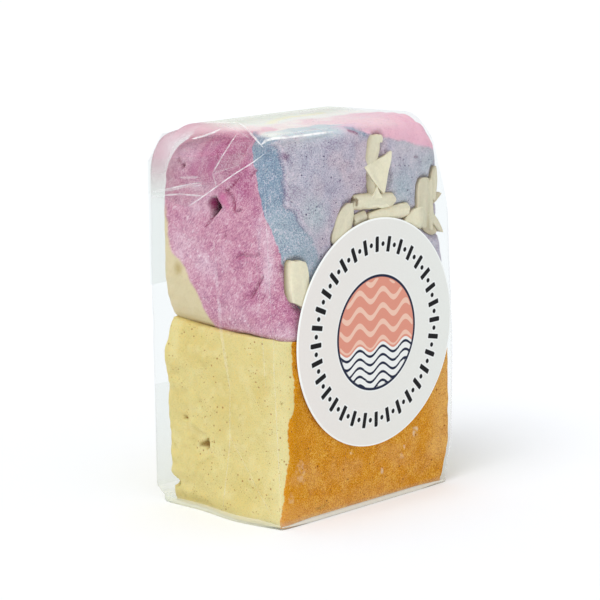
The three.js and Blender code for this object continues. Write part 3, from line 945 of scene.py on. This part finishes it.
def top_layer(block, broad, ragged):
    x, y, _ = block.base.T
    whiter = smooth(broad + 0.4 * ragged, -0.1, 0.5) * smooth(x, 12, 0)
    whiter += smooth(x, 2, -14) * smooth(x, -24, -16)
    return painted(
        TOP_PINK,
        (0.8 * whiter, TOP_WHITE),
        (0.35 * smooth(x, 17, 8), TOP_WHITE),
        (0.9 * smooth(y - steps(x, GREEN_EDGE) + 2 * ragged, -1.0, 3.0), TOP_GREEN),
        (0.8 * bump(along_line(x, y, CREAM_LINE) / CREAM_LINE_HALF), TOP_CREAM),
        (0.8 * smooth(inside(x, y, PINK_PATCH), -0.3, 0.3), TOP_PINK),
        (0.9 * smooth(x, -15, -20) * smooth(y, -7, -4), TOP_LEFT),
        (smooth(steps(x, TOP_BLUE_EDGE) - y + 1.5 * ragged, -0.5, 0.5), TOP_BLUE),
        (blot(x, y, (-20, -8.5), (7, 4.5)) ** 0.6, TOP_GREEN),
        (0.9 * blot(x, y, (-14.4, 2.3), (5, 4)), TOP_WHITE),
        (0.9 * bump((x + 3.5) / 5) * smooth(y, -12, -15), TOP_LILAC),
        (0.5 * smooth(ragged, 0.05, 0.3) * bump((y + 13.5) / 3) * smooth(x, -4, -8), PINK),
    )


def layered(tints, past_edge, **looks):
    return {"tint": tints[0], "second_tint": tints[1], "past_edge": past_edge, **looks}


def upper_looks(block):
    """The mesh attributes that the marshmallow shader reads, for the upper block."""
    p = block.plain
    x, y, z = block.base.T
    broad, ragged, fine = layers(p, 8.0, 31), 0.35 * layers(p, 2.2, 32), 0.12 * layers(p, 0.7, 33, 2)
    front, left, top = map(block.on, ("front", "left", "top"))

    below_cream_end = smooth(66 - z + 2.5 * broad * smooth(y, 13, 15), -2, 3)
    creamy = smooth(y - steps(z, CREAM_EDGE) + ragged, -0.4, 0.4) * below_cream_end
    deep_cream = 0.7 * creamy * block.mark("left", (11.8, 52.4), (1.9, 2.6)) * (0.6 + broad)
    first = painted(pink_layer(block, broad), (creamy, CREAM), (deep_cream, CREAM_DEEP))

    past_edge = block.unwrapped() - steps(z, BLUE_EDGE) + ragged + fine
    past_edge = np.where(x > 5, np.minimum(past_edge, 2.5 * broad + ragged - y - 4), past_edge)
    blue = smooth(past_edge, -0.25, 0.25)
    lip = lip_side(block) + 0.6 * ragged
    lilac = front * smooth(lip, -0.3, 0.3)
    greyer = 0.45 * front * smooth(68 - z + 3 * broad, -3, 6)
    second = painted(BLUE, (greyer, BLUE_GREY), (lilac, lilac_layer(block)))

    high = front * smooth(z, 60, 65)
    over = front * smooth(z - steps(x, PINK_TOP) + 0.5 * ragged, -0.3, 0.3) * (x > -2.5)
    on_top = smooth(z - steps(y, LEFT_CREST), -0.3, 0.5) * (x < -12)
    on_top = np.maximum(on_top, smooth(x, -19.5, -17.0) * smooth(z, 80.2, 81.6) * top) * (z > 76)
    within, depth = hole(block)
    tints = painted(
        np.stack([first, second]),
        # painted shade at the foot of the lilac layer's lip, and a painted highlight along its top
        (0.45 * high * bump((lip + 0.2) / 0.4), RECESS_SHADE),
        (0.5 * high * bump((lip - 0.45) / 0.45), LIP_HIGHLIGHT),
        (over, TOP_PINK),
        (on_top, top_layer(block, broad, ragged)),
        (0.8 * block.mark("front", ((-4.6, 82.8), (-0.6, 81.5)), 0.9), BLUE),
        # painted shade along a fold near the front's top
        (0.7 * block.mark("front", ((-5.2, 82.5), (-3.0, 81.8)), 0.45), FOLD_AND_CUT_SHADE),
        (0.6 * block.mark("left", ((-0.8, 69.2), (-2.3, 67.2)), 1.3), FOLD_PINK),
        # painted shade inside the torn hole, darker where it is deeper
        (1.2 * within, lerp(HOLE_PINK, HOLE_SHADE, smooth(depth, 0.1, 0.6)[:, None])),
        # painted shade along the fold beside the torn hole
        (0.9 * block.mark("left", FOLD, 0.6), FOLD_AND_CUT_SHADE),
        # painted shade on the block beside the shavings
        (0.36 * beside_shavings(block, SHADE_REACH), FLAKE_SHADE),
        (0.5 * bump(z - UPPER_SEAM_Z), SEAM_BROWN),
        *block.coats(CUT_SHADES, FOLD_AND_CUT_SHADE),
        *block.coats(PIT_SHADES, RECESS_SHADE),
    )

    over_all = np.maximum(on_top, over)
    grit = lerp(lerp(lerp(0.72, 0.62, blue), 0.66, lilac), 0.22, over_all)
    grit = lerp(grit, lerp(0.24, 0.14, left), creamy)
    for place in SMOOTH_PLACES:
        grit = lerp(grit, 0.2, block.mark("left", *place))
    grit = lerp(grit, 0.15, within)
    streaks = 0.1 + left * (1 - blue) * (0.2 + 0.3 * smooth(z, 72, 64)) + 0.35 * lilac * smooth(x, 6, 12)
    specks = 0.1 + (0.5 * blue + 0.4 * lilac) * (1 - over)
    dust = left * (1 - blue) * (0.15 + 0.55 * smooth(z, 72, 62)) * (0.8 + 0.5 * broad)
    dust += blue * (0.2 + 0.4 * smooth(z, 74, 62)) * (1 - 0.5 * lilac)
    dust *= (1 - creamy) * (1 - over_all) * (1 - within)
    return layered(tints, past_edge, grit=grit, streaks=streaks, specks=specks, dust=np.clip(dust, 0, 1))


def lower_looks(block):
    """The same attributes for the lower block."""
    p = block.plain
    x, y, z = block.base.T
    broad, ragged, fine = layers(p, 7.0, 41), 0.15 * layers(p, 2.4, 42), 0.4 * layers(p, 0.7, 43, 2)
    s = block.unwrapped()
    yellow = painted(
        YELLOW,
        (0.5 * smooth(broad, -0.2, 0.9), YELLOW_DEEP),
        (0.35 * smooth(layers(p, 2.2, 45), 0.1, 0.8), YELLOW_PALE),
        (0.6 * smooth(s, -7, -1) * block.on("left"), YELLOW_PALE),
    )
    past_edge = np.minimum(s - steps(z, SKIN_EDGE) + ragged + 0.5 * fine, 4 * ragged + fine - y - 15)
    skin = smooth(past_edge, -0.22, 0.22)
    worn = []
    for strength, *place in WORN_PLACES["front"]:
        worn.append((strength * smooth(block.mark("front", *place) * (1 + 3 * fine), 0.3, 0.9), SKIN_WORN))
    ochre = painted(
        OCHRE,
        (0.9 * smooth(6.0 - s + 3 * broad, -2, 3) * smooth(z, 4, 14), OCHRE_DEEP),
        (0.8 * blot(x, z, (22, 5), (9, 8)), OCHRE_DEEP),
        (0.7 * smooth(layers(p, 5.0, 46), 0.0, 0.7) * smooth(z, 22, 10), OCHRE_PALE),
        (0.7 * smooth(4.5 - z + 2 * broad, -2, 2) * smooth(x, 12, 5), OCHRE_PALE),
        *worn,
        (0.6 * block.mark("front", ((-16.0, 2.5), (-12.6, 2.9)), 0.45), SEAM_BROWN),
        (0.85 * smooth(x + broad, 19, 26) * smooth(z, 2, 9), OCHRE_LIGHT),
    )
    tints = painted(
        np.stack([yellow, ochre]),
        # painted shade in the pit
        (0.85 * pit(block), PIT_SHADE_BROWN),
        *block.coats(PIT_SHADES_AND_SPECK, PIT_SHADE_BROWN),
        (0.45 * bump((z - LOWER_SEAM_Z) / 1.2), SEAM_BROWN),
    )
    dusty = 0.1 + 0.8 * block.mark("front", (-20.5, 8.0), (6.5, 9.0)) + 0.4 * smooth(z, 4.5, 1.5)
    return layered(
        tints,
        past_edge,
        grit=lerp(0.32, lerp(0.8, 0.45, smooth(s, 7, 2)), skin),
        streaks=np.full(len(x), 0.1),
        specks=lerp(0.7, 1.0, skin),
        dust=np.clip(skin * dusty, 0, 1),
    )


# Each marshmallow: its dust, what its darkest grain is multiplied by, its specks and their radii, and the
# size of its grain.
SWIRL = (srgb(242, 224, 234), (0.55, 0.42, 0.56), srgb(84, 72, 108), (0.12, 0.26), (0.08, 0.14), 0.24)
CUSTARD = (srgb(244, 200, 96), (0.76, 0.66, 0.45), srgb(158, 90, 28), (0.1, 0.26), (0.08, 0.16), 0.3)


def make_block(name, block, looks, material_name, marshmallow):
    material = new_material(material_name, marshmallow_shader(*marshmallow))
    make_piece(name, [(block.points, block.faces, 0)], [material], looks(block))


make_block("upper_marshmallow", shaped_upper(), upper_looks, "marshmallow_swirl", SWIRL)
make_block("lower_marshmallow", shaped_lower(), lower_looks, "marshmallow_custard", CUSTARD)

# ---------------------------------------------------------------- the chocolate shavings

SHAVING_GRID = (36, 18)
BED = -17.85  # the depth that a shaving's heights are taken from
ROOT = -16.2  # where the shavings end inside the block
RIDGE = 0.07
ROLL_END = ((-3.5, 67.4), (0.7, 1.3), 8)  # the rolled shaving's end, painted dark as shade in its hollow: middle (x, z), half sizes, turn
# The shavings' ivory, the painted shade that darkens them deeper down, and the darker painted shade on their
# walls and in the rolled end's hollow.
IVORY, IVORY_SHADE, SHAVING_SHADE = srgb(235, 227, 201), srgb(208, 195, 165), srgb(132, 112, 82)


def level(a, b, c):
    """Points with coordinates a and b at the same c."""
    return np.stack([a, b, np.full_like(a, c)], 1)


def shaving(flake, seed):
    """One flake of chocolate: a closed shell, its outer side towards -y and its walls running into the block,
    and its tone at each point, with a painted highlight along its rim and painted shade down one side."""
    (length, width), (rows, columns), widest = flake.size, SHAVING_GRID, flake.widest
    t, s = np.meshgrid(np.linspace(0, 1, rows), np.linspace(-1, 1, columns), indexing="ij")
    t, s = t.ravel(), s.ravel()
    low = t < widest
    away = np.where(low, (widest - t) / widest, (t - widest) / (1 - widest))
    share = lerp(np.where(low, *flake.ends), 1, np.maximum(0, 1 - away**flake.full) ** (1 / flake.full))
    wobble = layers(level(1.4 * t * length / width, 1.5 * np.sign(s), 5 * seed), 1.0, 50, 2)
    share = share * (1 + 0.1 * wobble * np.abs(s))
    out = 2 * t - 1
    oblique = np.where(out < 0, *flake.slant) * np.abs(out) ** 3 * s * width
    jag = 0.22 * np.abs(out) ** 6 * np.sign(out) * noise(level(2 * s, out, 3 * seed), 0.9, 70)
    along = out * length / 2 + oblique + jag
    across = s * width / 2 * share
    surface = noise(level(along, across, 7 * seed), 2.2, 90)
    height = flake.lift + flake.bow * (1 - s * s) + 0.12 * surface - 0.1 * np.abs(s) ** 8
    if flake.ridges:
        height = height + RIDGE * np.cos(2 * math.pi * flake.ridges * s + surface)
    dx, dz = turned(across, along, flake.turn)
    x, z = flake.at[0] + dx, flake.at[1] + dz
    outer = keep_in_film(np.stack([x, BED + front_setback(x, z) - height, z], 1))
    inner = np.stack([x, np.full_like(x, ROOT), z], 1)

    index = np.arange(rows * columns).reshape(rows, columns)
    skin = quads(index)
    back = skin[:, ::-1] + rows * columns
    ring = np.concatenate([index[0, :-1], index[:-1, -1], index[-1, :0:-1], index[:0:-1, 0]])
    wall = np.concatenate([outer[ring], inner[ring]])
    here = np.arange(len(ring))
    after = np.roll(here, -1)
    rim = np.stack([after, here, here + len(ring), after + len(ring)], 1) + 2 * rows * columns

    # Painted light: the rim is lighter as a highlight and the -s side darker as shade; the streaks are the
    # chocolate's own.
    lip = smooth(np.abs(s), 0.72, 0.95) * smooth(np.abs(out), 1, 0.8)
    streaks = noise(level(5 * s + surface, 1.5 * out, 9 * seed), 1.4, 40)
    tone_highlight_and_shade = flake.tone * (1 + 0.05 * lip + 0.05 * streaks - 0.06 * smooth(-s, 0.0, 0.8) * (1 - lip))
    tones_with_painted_light = np.concatenate([tone_highlight_and_shade, np.full(len(tone_highlight_and_shade) + 2 * len(ring), flake.tone)])
    return np.concatenate([outer, inner, wall]), np.concatenate([skin, back, rim]), tones_with_painted_light


def make_shavings():
    shells, faces, tones_with_painted_light = zip(*(shaving(flake, seed) for seed, flake in enumerate(SHAVINGS)))
    points = np.concatenate(shells)
    x, y, z = points.T
    depth = y - front_setback(x, z) - BED
    # Painted shade: darker deeper down, towards the block, with some tone that differs at random.
    deep = 0.8 * smooth(depth, -0.65, -0.05) + 0.2 * noise(points, 1.6, 15)
    # Each shaving's tone with its painted highlight and shade, and darker towards the right, past x 16.5.
    tone_and_painted_light = np.concatenate(tones_with_painted_light) * lerp(1.0, 0.9, smooth(x, 16.5, 18.5))
    (end_x, end_z), half, turn = ROLL_END
    across, along = turned(x - end_x, z - end_z, turn)
    within = np.hypot(across / half[0], along / half[1])
    tint = painted(
        painted(IVORY, (deep, IVORY_SHADE)) * tone_and_painted_light[:, None],
        # painted shade on the walls and in the rolled end's hollow
        (smooth(depth, -0.2, 0.5), SHAVING_SHADE),
        (0.85 * smooth(within, 0.9, 0.6), SHAVING_SHADE),
    )
    parts = [(shell, shell_faces, 0) for shell, shell_faces in zip(shells, faces)]
    chocolate = new_material("white_chocolate", chocolate_shader)
    make_piece("chocolate_shavings", parts, [chocolate], {"tint": tint})


make_shavings()

# ---------------------------------------------------------------- the film

FILM_GRID, PATCH_GRID = 1.0, 12
RIBBON_COUNT, RIBBON_RISE = 48, 0.05
# The film's milky haze, and the pinks painted on it as a reflection of the pink block.
MILK, REFLECTED_PINK, REFLECTED_LIGHT_PINK = srgb(240, 245, 233), srgb(217, 177, 190), srgb(254, 214, 225)
FOOT_MILK_AND_LIGHT, LEFT_FOOT_MILK_AND_LIGHT = srgb(250, 249, 238), srgb(240, 238, 216)
SKIN, CREASE_AND_HIGHLIGHT = 0, 1  # the film's two materials


def film_skin():
    """The bag's surface: its places in the plain box, its points and its faces."""
    size = np.array([WIDTH, 2 * HALF_DEPTH, HEIGHT])
    shares, faces = box_shell(size, FILM_GRID)
    plain = (shares - [0.5, 0.5, 0]) * size
    return plain, sculpt(plain), faces


def patch(corners, wave=0.0, seed=0):
    """A four-cornered sheet, its corners in order round it, that waves out and in by up to wave."""
    a, b, c, d = np.array(corners, float)
    shares = np.linspace(0, 1, PATCH_GRID)
    u, v = (share.reshape(-1, 1) for share in np.meshgrid(shares, shares, indexing="ij"))
    points = lerp(lerp(a, b, u), lerp(d, c, u), v)
    normal = np.cross(c - a, d - b)
    points = points + normal / np.linalg.norm(normal) * wave * noise(points, 5.0, seed)[:, None]
    return points, quads(np.arange(PATCH_GRID**2).reshape(PATCH_GRID, PATCH_GRID))[:, ::-1]


def ribbon(knots, width, facing):
    """A narrow ridge along a line through knots: where the film is creased or folded over."""
    knots = np.array(knots, float)
    spans = np.concatenate([[0], np.cumsum(np.linalg.norm(np.diff(knots, axis=0), axis=1))])
    at = np.linspace(0, spans[-1], RIBBON_COUNT)
    middle = np.stack([np.interp(at, spans, knots[:, k]) for k in range(3)], 1)
    middle[1:-1] = (middle[:-2] + 2 * middle[1:-1] + middle[2:]) / 4
    facing = np.array(facing, float) / np.linalg.norm(facing)
    side = np.cross(np.gradient(middle, axis=0), facing)
    side = side / np.linalg.norm(side, axis=1, keepdims=True)
    share = np.minimum(1, 5 * np.minimum(at, spans[-1] - at) / spans[-1] + 0.2)[:, None]
    half = side * width / 2 * share
    rows = [middle - half, middle + facing * RIBBON_RISE, middle + half]
    points = np.stack(rows, 1).reshape(-1, 3)
    return points, quads(np.arange(3 * RIBBON_COUNT).reshape(RIBBON_COUNT, 3))


LEFT_OUT, UP_LEFT, FRONT_UP = (-1, -0.1, 0.2), (-0.6, -0.3, 0.8), (-0.2, -1, 0.8)
EAR_LINE = (
    *((-27.9, 7.7, 66.3), (-27.7, 4.3, 68.4), (-27.4, 0.1, 71.1)),
    *((-27.0, -5.4, 74.6), (-26.6, -10.1, 77.3), (-26.0, -13.4, 79.6)),
)
TOP_LINE = ((-13.2, 7.1, 83.1), (-19.4, -1.4, 83.2), (-24.7, -9.1, 82.3), (-26.0, -13.0, 80.6))
FRONT_LEFT_LINE = ((-25.7, -12.0, 81.2), (-24.5, -12.2, 82.0), (-23.0, -13.3, 82.4), (-19.9, -14.6, 82.4))
FRONT_LINE = ((-21.0, -14.1, 82.4), (-16.7, -15.6, 82.6), (-13.3, -16.5, 82.8), (-9.5, -17.3, 82.9))
FORK = (-27.4, 0.6, 74.2)
# The film's visible creases, each its own whitening with a painted highlight along it: their width, the way
# they face, how bright they are, and their knots.
CREASES_AND_HIGHLIGHTS = (
    (0.28, LEFT_OUT, 0.75, EAR_LINE),
    (0.45, UP_LEFT, 0.85, TOP_LINE),
    (0.25, UP_LEFT, 0.4, ((-16.5, 8.5, 83.0), (-21.5, -1.0, 82.8), (-24.6, -8.0, 81.9))),
    (0.3, LEFT_OUT, 0.65, (FORK, (-27.1, -1.8, 77.8), (-25.2, -3.2, 81.4), (-23.5, -3.0, 82.7))),
    (0.25, LEFT_OUT, 0.3, (FORK, (-27.0, -4.1, 75.7), (-26.8, -7.6, 77.1))),
    (0.25, LEFT_OUT, 0.5, (FORK, (-27.3, -0.5, 71.2))),
    (0.5, LEFT_OUT, 0.4, ((-28.6, 18.0, 68.6), (-28.2, 12.8, 69.5), (-27.8, 7.1, 70.9), (-27.6, 3.4, 71.4))),
    (0.28, LEFT_OUT, 0.75, ((-28.4, 15.0, 69.3), (-27.8, 7.5, 71.2), (-27.6, 3.8, 71.9))),
    (0.35, LEFT_OUT, 0.55, ((-28.6, 18.0, 67.6), (-28.0, 10.0, 68.9), (-27.5, 2.9, 69.1))),
    (0.5, LEFT_OUT, 0.35, ((-27.9, 10.0, 72.4), (-27.6, 4.5, 73.0))),
    (0.55, UP_LEFT, 0.95, ((-25.3, 8.9, 80.5), (-24.7, 5.7, 81.4), (-23.5, 3.8, 82.3), (-22.1, 3.2, 82.9))),
    (0.35, UP_LEFT, 0.5, ((-22.4, 15.5, 82.0), (-17.2, 12.5, 82.9), (-13.2, 7.1, 83.1))),
    (0.6, FRONT_UP, 1.0, FRONT_LEFT_LINE),
    (0.5, FRONT_UP, 1.0, FRONT_LINE),
    (0.25, FRONT_UP, 0.4, ((-23.0, -12.6, 82.9), (-16.0, -14.6, 83.3), (-8.0, -16.3, 83.5))),
)
# Fainter upright ones in the side's gusset and beside the front's left edge: their width, how bright they
# are, and their knots as (y, z) on the left side.
UPRIGHTS = (
    (0.9, 0.13, ((0.7, 60), (0.7, 54), (-0.6, 40), (-3.2, 28))),
    (0.35, 0.13, ((-3.2, 28), (-2.9, 16), (-2.3, 1.6))),
    (0.35, 0.1, ((-2.0, 19), (-9.0, 11), (-16.6, 1.5))),
    (0.35, 0.1, ((-11.0, 62), (-12.6, 45), (-14.0, 30))),
)
# The folded sheets: the top's two layers down the back, the foot's fold up the back, and the left side's flap
# by their corners, and the gussets' ears by their corners' (y, z) on the left and the right side.
BACK_LAYERS_Y = (18.6, 18.95)
# A back layer's edges, as the x of both ends and the z of both ends, and its parts' milkiness and colour.
BACK_LOW, BACK_FOLD = (-28.5, 27.6, 48.2, 48.2), (-28.8, 26.6, 75.2, 77)
BACK_HIGH = (-24.6, 23.8, 80.8, 80.8)
BACK_PARTS = ((BACK_LOW, BACK_FOLD, 0.02, MILK), (BACK_FOLD, BACK_HIGH, 0.06, REFLECTED_PINK))
FOOT_FOLD = ((-27.6, 18.5, 3.0), (27.4, 18.5, 3.0), (28.2, 18.55, 26.0), (-27.9, 18.55, 26.0))
FLAP = ((-27.5, 0.6, 74.2), (-27.0, -7.6, 77.1), (-25.3, -10.2, 81.4), (-25.3, -3.2, 81.4))
LEFT_EAR = ((-12.9, 79.9), (7.7, 66.3), (18.9, 68.2), (18.9, 75.4))
RIGHT_EAR = ((-10.5, 72.6), (9.2, 60.2), (17.4, 62.2), (17.4, 72.6))
EAR_GAP, UPRIGHT_GAP = 0.3, 0.1  # how far the ears and the upright creases lie outside the side


def film_haze(plain, points):
    """How milky the film is, and in which colour, place by place. Its pink is a painted reflection of the
    pink block.
    """
    x, y, z = points.T
    rough = 0.75 + 0.35 * layers(points, 6.0, 61)
    top = smooth(z, 79.0, 82.0)
    veil = 0.1 * top * smooth(x, -4, -20) * rough
    veil += 0.5 * top * smooth(y, 3, 14)
    veil += 0.5 * smooth(x, -22, -26) * smooth(z, 64, 78) * smooth(y, 10, 15)
    veil += 0.15 * smooth(x, -12, -17) * smooth(z, 81.6, 82.6) * smooth(y, -9, -3)
    veil += 0.12 * smooth(x, -14, -20) * smooth(z, 81.0, 82.4) * smooth(y, -8, 2) * rough
    upright = np.minimum(HALF_WIDTH - np.abs(plain[:, 0]), HALF_DEPTH - np.abs(plain[:, 1])) < 0.6
    veil += 0.25 * upright * bump(z / 2.2)
    veil += 0.4 * bump((x + HALF_WIDTH) / 8) * bump((y - HALF_DEPTH) / 9) * bump(z / 5)
    pink_reflection = smooth(z, 64, 76) * smooth(x, -13, -19) * smooth(y, -12, -4)
    light_pink_reflection = pink_reflection * smooth(z, 79.5, 81.5) * smooth(y, 13, 7)
    return np.clip(veil, 0, 0.9), painted(MILK, (pink_reflection, REFLECTED_PINK), (light_pink_reflection, REFLECTED_LIGHT_PINK))


def make_film():
    plain, skin, faces = film_skin()
    veil, tint = film_haze(plain, skin)
    parts, haze, milk = [(skin, faces, SKIN)], [veil], [tint]

    def add_sheet(points, sheet_faces, material, amount, colour=MILK):
        parts.append((points, sheet_faces, material))
        haze.append(np.full(len(points), amount))
        milk.append(np.tile(colour, (len(points), 1)))

    for layer, y in enumerate(BACK_LAYERS_Y):
        for low, high, amount, colour in BACK_PARTS:
            (x0, x1, z0, z1), (x2, x3, z2, z3) = low, high
            corners = ((x0, y, z0), (x1, y, z1), (x3, y, z3), (x2, y, z2))
            add_sheet(*patch(corners, 0.04, layer), SKIN, amount, colour)
    add_sheet(*patch(FOOT_FOLD, 0.03, 5), SKIN, 0.04)
    for side, ear in ((-1, LEFT_EAR), (1, RIGHT_EAR)):
        corners = [(float(side_x(side, y, z)) + side * EAR_GAP, y, z) for y, z in ear]
        add_sheet(*patch(corners, 0.06, 7 + side), SKIN, 0.03)
        if side > 0:
            add_sheet(*ribbon(corners[:2], 0.35, (1, 0, 0.2)), CREASE_AND_HIGHLIGHT, 0.6)
    add_sheet(*patch(FLAP), SKIN, 0.12, REFLECTED_PINK)
    for width, facing, bright, knots in CREASES_AND_HIGHLIGHTS:
        add_sheet(*ribbon(knots, width, facing), CREASE_AND_HIGHLIGHT, bright)
    for width, bright, knots in UPRIGHTS:
        points = [(float(side_x(-1, y, z) + gusset_fold(y, z)) - UPRIGHT_GAP, y, z) for y, z in knots]
        add_sheet(*ribbon(points, width, (-1, 0, 0)), CREASE_AND_HIGHLIGHT, bright)
    # Milky bands along the foot: the film's folded foot, with painted light over the shade where the bag
    # meets the floor.
    front_foot = sculpt([(x, -HALF_DEPTH, 0.55) for x in np.linspace(-28.7, 28.2, 40)])
    add_sheet(*ribbon(front_foot, 1.0, (0, -1, 0.1)), SKIN, 0.72, FOOT_MILK_AND_LIGHT)
    left_foot = sculpt([(-HALF_WIDTH, y, 0.75) for y in np.linspace(-18.4, 17.0, 30)])
    add_sheet(*ribbon(left_foot, 1.4, (-1, 0, 0.1)), SKIN, 0.45, LEFT_FOOT_MILK_AND_LIGHT)
    front_edge = sculpt([(-HALF_WIDTH, -HALF_DEPTH, z) for z in np.linspace(0.5, 80, 30)])
    add_sheet(*ribbon(front_edge, 0.25, (-1, -1, 0)), CREASE_AND_HIGHLIGHT, 0.16)
    # a painted reflection down the right edge, where the film is seen edge on
    right_edge = sculpt([(HALF_WIDTH - 0.3, -HALF_DEPTH, z) for z in np.linspace(1.5, 42, 30)])
    add_sheet(*ribbon(right_edge, 0.7, (0.3, -1, 0)), CREASE_AND_HIGHLIGHT, 0.7)

    materials = [new_material("clear_film", film_shader), new_material("film_crease_and_highlight", crease_and_highlight_shader)]
    looks = {"haze": np.concatenate(haze), "milk": np.concatenate(milk)}
    film = make_piece("film", parts, materials, looks)
    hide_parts("bag")


make_film()

# ---------------------------------------------------------------- the label

LABEL_RINGS, LABEL_SPOKES = 62, 400
RIM_WIDTH = 0.35
MEDAL_RADIUS, MEDAL_LINE, KEYLINE = 12.4, 0.3, 0.3
DASHES, DASH_RING, DASH_LENGTH, DASH_WIDTH, DOT_RADIUS = 32, 19.3, 1.7, 0.55, 0.55
WAVE_HEIGHT, WAVE_LENGTH, SEA_LEVEL = 0.9, 7.5, -3.2
CREST_SPACING, CREST_HALF, CREST_SLOPE, CREST_OFFSET = 3.6, 0.55, 0.9, 0.8
RIPPLE_SPACING, RIPPLE_HALF, PEACH_INSET = 1.9, 0.3, 0.5


def label_print(a, b):
    """How far inside each ink's shapes a place (a, b) from the label's middle is, in millimetres."""
    radius, angle = np.hypot(a, b), np.arctan2(b, a)
    medal = MEDAL_RADIUS - radius
    wave = WAVE_HEIGHT * np.sin(a * 2 * math.pi / WAVE_LENGTH)
    above_sea = b - SEA_LEVEL - wave
    sky = np.minimum(medal, above_sea)
    from_crest = np.abs((b - wave * 1.3 + CREST_OFFSET) % CREST_SPACING - CREST_SPACING / 2)
    crest = CREST_HALF - from_crest * CREST_SLOPE
    ripple = RIPPLE_HALF - np.abs(above_sea % RIPPLE_SPACING - RIPPLE_SPACING / 2)
    step = 2 * math.pi / DASHES
    local = (angle + step / 2) % step - step / 2
    dash = np.minimum(DASH_LENGTH - np.abs(radius - DASH_RING), DASH_WIDTH - np.abs(local) * radius)
    dot = DOT_RADIUS - np.hypot(radius - DASH_RING, (angle % step - step / 2) * radius)
    black = np.maximum(dash, dot)
    return {
        "white": np.maximum(black + KEYLINE, medal + MEDAL_LINE + KEYLINE),
        "coral": sky,
        "peach": np.minimum(sky - PEACH_INSET, crest),
        "navy": np.maximum(MEDAL_LINE - np.abs(medal), np.minimum(np.minimum(medal, -above_sea), ripple)),
        "black": black,
        "rim": radius - (LABEL_RADIUS - RIM_WIDTH),
    }


def make_label():
    """The round label: its printed face, a rounded edge and a back."""
    front = -DEPTH / 2
    profile = [(LABEL_RADIUS * k / LABEL_RINGS, front) for k in range(1, LABEL_RINGS)]
    profile += [(LABEL_RADIUS - 0.07, front + 0.01), (LABEL_RADIUS, front + 0.08)]
    profile += [(LABEL_RADIUS, front + LABEL_THICKNESS - 0.05), (LABEL_RADIUS - 0.1, front + LABEL_THICKNESS)]
    spokes = np.arange(LABEL_SPOKES)
    angle = 2 * math.pi * spokes / LABEL_SPOKES
    points = [[(LABEL_X, front, LABEL_Z)], [(LABEL_X, front + LABEL_THICKNESS, LABEL_Z)]]
    for r, y in profile:
        x, z = LABEL_X + r * np.cos(angle), LABEL_Z + r * np.sin(angle)
        points.append(np.stack([x, np.full_like(angle, y), z], 1))
    points = np.concatenate(points)
    ring = 2 + np.arange(len(profile) * LABEL_SPOKES).reshape(len(profile), LABEL_SPOKES)
    ring = np.column_stack([ring, ring[:, 0]])
    first, last = ring[0], ring[-1]
    faces = np.stack([0 * spokes, first[:-1], first[1:]], 1).tolist()
    faces += quads(ring)[:, ::-1].tolist()
    faces += np.stack([0 * spokes + 1, last[1:], last[:-1]], 1).tolist()
    inks = label_print(points[:, 0] - LABEL_X, points[:, 2] - LABEL_Z)
    paper = new_material("label_paper", paper_shader)
    label = make_piece("label_disc", [(points, faces, 0)], [paper], inks)
    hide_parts("label")


make_label()

# ---------------------------------------------------------------- floor, light and camera

FLOOR_SIZE, FLOOR_Z = 12.0, -0.05 * MM
FLOOR_COLOUR, WORLD_STRENGTH = (0.93, 0.95, 0.98), 0.8
SUN_AZIMUTH, SUN_ELEVATION, SUN_POWER, SUN_ANGLE = -80, 58, 1.1, 30
SUN_AIM, SUN_DISTANCE = (0, 0, 0.04), 0.9
CAMERA_AZIMUTH, CAMERA_ELEVATION, CAMERA_DISTANCE = -46.85, 11.16, 541.16
CAMERA_LENS, CAMERA_SENSOR = 147.55, 36.0
CAMERA_AIM, CAMERA_RIGHT, CAMERA_UP = (0.7, -1.0, 41.9), -2.06, 1.35


def towards(azimuth, elevation):
    """The way to a place round the object, in degrees. Azimuth 0 is in front of the label."""
    a, e = math.radians(azimuth), math.radians(elevation)
    return Vector((math.sin(a) * math.cos(e), -math.cos(a) * math.cos(e), math.sin(e)))


def make_stage():
    h = FLOOR_SIZE / 2
    mesh = bpy.data.meshes.new("floor")
    mesh.from_pydata([(x, y, FLOOR_Z) for x, y in ((-h, -h), (h, -h), (h, h), (-h, h))], [], [(0, 1, 2, 3)])
    mesh.materials.append(
        new_material("studio_floor", lambda tree: add(tree, "BsdfDiffuse", {"Color": FLOOR_COLOUR}))
    )
    floor = bpy.data.objects.new("floor", mesh)
    bpy.context.scene.collection.objects.link(floor)


def make_sun():
    data = bpy.data.lights.new("key", "SUN")
    data.energy = SUN_POWER
    data.angle = math.radians(SUN_ANGLE)
    sun = bpy.data.objects.new("key", data)
    back = towards(SUN_AZIMUTH, SUN_ELEVATION)
    sun.location = Vector(SUN_AIM) + back * SUN_DISTANCE
    sun.rotation_euler = back.to_track_quat("Z", "Y").to_euler()
    bpy.context.scene.collection.objects.link(sun)


def make_world():
    world = bpy.data.worlds.new("studio")
    world.use_nodes = True
    background = world.node_tree.nodes["Background"]
    background.inputs["Color"].default_value = (1, 1, 1, 1)
    background.inputs["Strength"].default_value = WORLD_STRENGTH
    bpy.context.scene.world = world


def make_camera():
    back = towards(CAMERA_AZIMUTH, CAMERA_ELEVATION)
    right = Vector((-back.y, back.x, 0)).normalized()
    up = back.cross(right)
    place = Vector(CAMERA_AIM) + right * CAMERA_RIGHT + up * CAMERA_UP + back * CAMERA_DISTANCE
    data = bpy.data.cameras.new("camera")
    data.sensor_width = CAMERA_SENSOR
    data.lens = CAMERA_LENS
    data.clip_end = 50
    camera = bpy.data.objects.new("camera", data)
    camera.matrix_world = Matrix.Translation(place * MM) @ Matrix((right, up, back)).transposed().to_4x4()
    bpy.context.scene.collection.objects.link(camera)
    bpy.context.scene.camera = camera


make_stage()
make_world()
make_sun()
make_camera()
bpy.context.scene.view_settings.view_transform = "Standard"
